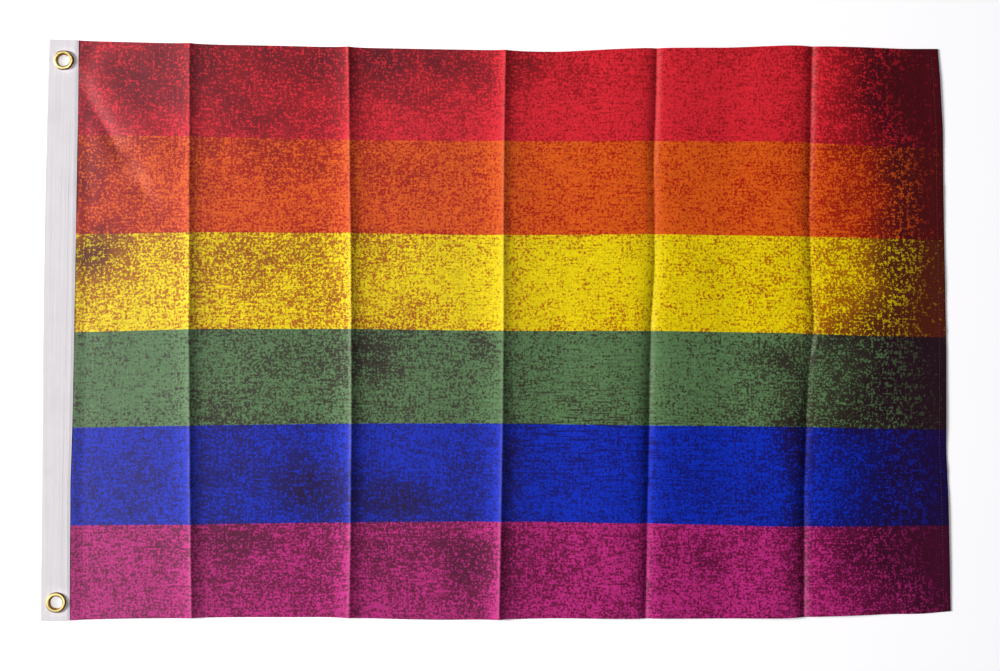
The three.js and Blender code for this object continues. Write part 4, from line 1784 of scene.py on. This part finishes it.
@dataclass
class Stitching:
    """All the rows of stitching on the flag.

    Attributes:
        form: how the flag lies.
        tape: the hoist tape.
        hem_run: x from which to which the top and bottom hems are sewn.
        fly_run: y from which to which the fly hem is sewn.
        tape_run: y from which to which the tape is sewn.
        step: distance between the points of a row.
        clear: distance from an eyelet's middle inside which the tape isn't sewn.
        lowest: least height of a row on the back.
        tape_rows: how far in from the seam the tape is sewn.
    """

    form: FlagForm
    tape: HoistStrip
    hem_run: tuple[float, float] = (-434.0, 458.0)
    fly_run: tuple[float, float] = (-288.0, 290.0)
    tape_run: tuple[float, float] = (-288.0, 292.0)
    step: float = 2.0
    clear: float = 11.6
    lowest: float = 0.12
    tape_rows: tuple[float, ...] = (2.6, 8.2)

    def hem_paths(self) -> list[Array]:
        """Rows of the three hems, on the printed face and on the back.

        Returns:
            Points of each row, in millimetres.
        """
        form, inset = self.form, self.form.hem_row
        x = np.arange(*self.hem_run, self.step)
        rows = [(x, read(form.top_edge, x) - inset), (x, read(form.bottom_edge, x) + inset)]
        y = np.arange(*self.fly_run, self.step)
        rows.append((read(form.fly_edge, y) - inset, y))
        paths = []
        for px, py in rows:
            under, top = form.faces(px, py)
            paths.append(np.stack([px, py, top - 0.03], 1))
            paths.append(np.stack([px, py, np.maximum(under - 0.02, self.lowest)], 1))
        return paths

    def tape_paths(self) -> list[Array]:
        """Rows through the hoist tape, on both plies.

        Returns:
            Points of each row, in millimetres.
        """
        form, tape = self.form, self.tape
        y = np.arange(*self.tape_run, self.step)
        paths = []
        for inset in self.tape_rows:
            x = read(form.seam, y) - inset
            clear = np.min([away for away, _ in tape.radii(x, y)], axis=0) > self.clear
            top = tape.height - 0.04 + tape.pressed(x[:, None], y[:, None], np.array([True]))[:, 0]
            back = tape.pressed(x[:, None], y[:, None], np.array([False]))[:, 0]
            for part in np.split(np.arange(y.size), np.flatnonzero(np.diff(clear.astype(int))) + 1):
                if clear[part[0]] and part.size > 3:
                    paths.append(np.stack([x, y, top], 1)[part])
                    paths.append(np.stack([x, y, np.maximum(back - 0.02, self.lowest)], 1)[part])
        return paths

    def build(self, effects: Effects) -> tuple[Piece, Piece]:
        """Sews the hems and the tape.

        Args:
            effects: the shared shader groups.

        Returns:
            The hem stitching and the tape stitching.
        """
        run = StitchRun()
        tree = run.tree()
        printed = SewingThread(printed=True).make("printed_thread", effects)
        white = SewingThread().make("white_thread", effects)
        hems = run.sew("hem_stitching", self.hem_paths(), tree, printed)
        places = np.zeros(len(hems.data.vertices) * 3)
        hems.data.vertices.foreach_get("co", places)
        x, y = places.reshape(-1, 3)[:, 0] / MM, places.reshape(-1, 3)[:, 1] / MM
        put_uv(hems.data, np.stack(self.form.flat_place(x, y), -1))
        put_mark(hems.data, "wear", self.form.wear(x, y))
        run = StitchRun(pitch=3.4, length=2.7, thread=0.16, seed=8)
        return hems, run.sew("tape_stitching", self.tape_paths(), tree, white)


# ---- surroundings --------------------------------------------------------------------


@dataclass
class Studio:
    """Pale floor that glows faintly as painted light, soft lights and the camera over the flag.

    Attributes:
        eyelets: x and y of each eyelet.
        eye: place of the camera.
        tilt: its turn about x, y and z, in degrees.
        lens: its focal length.
        ambient: strength of the room's light.
        floor_reach: half the width of the floor, in metres.
        floor_drop: how far it is under the flag, in metres.
    """

    eyelets: Sequence[Spot]
    eye: Point = (-37.1, -45.4, 1004.9)
    tilt: Point = (2.2007, -1.9785, -0.1516)
    lens: float = 35.0
    ambient: float = 0.14
    floor_reach: float = 3.0
    floor_drop: float = 0.0003

    def floor(self) -> Piece:
        """Lays the floor that the flag lies on, with a faint glow of painted light that lifts the shadows on
        it.

        Returns:
            The floor.
        """
        mesh = bpy.data.meshes.new("studio_floor")
        corners = ((-1.0, -1.0), (1.0, -1.0), (1.0, 1.0), (-1.0, 1.0))
        points = [(x * self.floor_reach, y * self.floor_reach, -self.floor_drop) for x, y in corners]
        mesh.from_pydata(points, [], [(0, 1, 2, 3)])
        piece = linked("studio_floor", mesh)
        material, graph, shader = new_material("glowing_pale_floor")
        drift = graph.noise(solid_millimetres(graph), scale=0.004, detail=2.0)
        # a faint glow: painted light that lifts the floor's shadows and brightens it inside the eyelet bores
        graph.fill(shader, {
            "Base Color": graph.blend(drift, linear(250, 250, 251), linear(247, 247, 249)),
            "Emission Color": (1.0, 1.0, 1.0), "Emission Strength": 0.12,
            "Roughness": 0.9, "Specular IOR Level": 0.1,
        })
        mesh.materials.append(material)
        return piece

    @staticmethod
    def hang(data: bpy.types.Light, place: Point, aim: Point) -> None:
        """Hangs a light and turns it to face a point.

        Args:
            data: the light.
            place: where it hangs, in metres.
            aim: the point that it faces, in metres.
        """
        lamp = linked(data.name, data)
        lamp.location = place
        lamp.rotation_euler = (Vector(aim) - Vector(place)).to_track_quat("-Z", "Y").to_euler()

    def lamp(
        self, name: str, place: Point, aim: Point, size: tuple[float, float], power: float,
        tint: Rgb = (1.0, 1.0, 1.0),
    ) -> None:
        """Hangs one soft lamp.

        Args:
            name: its name.
            place: where it hangs, in metres.
            aim: the point that it faces, in metres.
            size: its width and height, in metres.
            power: its power, in watts.
            tint: its colour.
        """
        data = bpy.data.lights.new(name, "AREA")
        data.color = tint
        data.shape, data.energy = "RECTANGLE", power
        data.size, data.size_y = size
        self.hang(data, place, aim)

    def pin_spot(self, place: Spot) -> None:
        """Hangs a narrow soft spot that reaches the floor through an eyelet.

        Args:
            place: x and y of the eyelet, in metres.
        """
        data = bpy.data.lights.new("pin_spot", "SPOT")
        data.energy, data.shadow_soft_size = 11.0, 0.01
        data.spot_size, data.spot_blend = math.radians(2.4), 1.0
        self.hang(data, (place[0] + 0.05, place[1], 0.60), (*place, 0.0))

    def light(self) -> None:
        """Sets the low side lamp, the small overhead lamp and the room."""
        self.lamp("side_lamp", (-5.60, 0.50, 2.15), (0.0, 0.0, 0.0), (1.6, 1.6), 850.0)
        self.lamp("haze_lamp", (-1.34, 0.08, 2.10), (-0.43, 0.0, 0.0), (0.8, 2.2), 9.5, (1.0, 0.86, 0.99))
        for x, y in self.eyelets:
            self.pin_spot((x * MM, y * MM))
        world = bpy.data.worlds.new("room")
        world.use_nodes = True
        back = world.node_tree.nodes["Background"]
        back.inputs["Color"].default_value = (1.0, 0.99, 0.98, 1.0)
        back.inputs["Strength"].default_value = self.ambient
        bpy.context.scene.world = world

    def camera(self) -> None:
        """Sets the camera over the flag, leaning a little."""
        data = bpy.data.cameras.new("camera")
        data.lens, data.sensor_width = self.lens, 36.0
        data.clip_start, data.clip_end = 0.01, 20.0
        camera = linked("camera", data)
        camera.location = [v * MM for v in self.eye]
        camera.rotation_euler = Euler([math.radians(v) for v in self.tilt], "XYZ")
        bpy.context.scene.camera = camera
        bpy.context.scene.view_settings.view_transform = "Standard"


def centre_of(node: str) -> Spot:
    """The x and y of the middle of a solid's box, in millimetres."""
    low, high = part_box(node)
    return (low[0] + high[0]) / 2.0 / MM, (low[1] + high[1]) / 2.0 / MM


def main() -> None:
    """Builds the flag's visible pieces in order, and the studio round them."""
    logging.basicConfig(level=logging.INFO, format="%(name)s: %(message)s")
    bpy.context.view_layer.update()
    eyelets = {name: centre_of(name) for name in ("eyelet_top", "eyelet_bottom")}
    studio = Studio(list(eyelets.values()))
    studio.camera()
    studio.light()
    studio.floor()

    form = FlagForm()
    effects = Effects()

    sheet = PrintedSheet(form, eyelets)
    cloth = sheet.build()
    sheet.dress(cloth, effects)
    strip = HoistStrip(form, eyelets)
    tape = strip.build()
    strip.dress(tape, effects)

    brass = RolledBrass().make("rolled_brass")
    top = RolledEyelet(
        "rolled_eyelet_top", eyelets["eyelet_top"], lean=0.10,
        dents=((6, 0.26, 0.05), (3, 0.16, 0.0), (1, 0.18, 0.0)),
    ).build()
    bottom = RolledEyelet(
        "rolled_eyelet_bottom", eyelets["eyelet_bottom"], lean=-0.06, dents=((4, 0.08, 0.5), (2, 0.08, 1.1)),
    ).build()
    hems, seams = Stitching(form, strip).build(effects)

    for ring, node in ((top, "eyelet_top"), (bottom, "eyelet_bottom")):
        ring.data.materials.append(brass)
        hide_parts(node)
    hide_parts("flag_cloth")
    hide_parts("heading")
    for piece in (cloth, tape, top, bottom, hems, seams):
        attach(piece, "root")


if __name__ == "__main__":
    main()
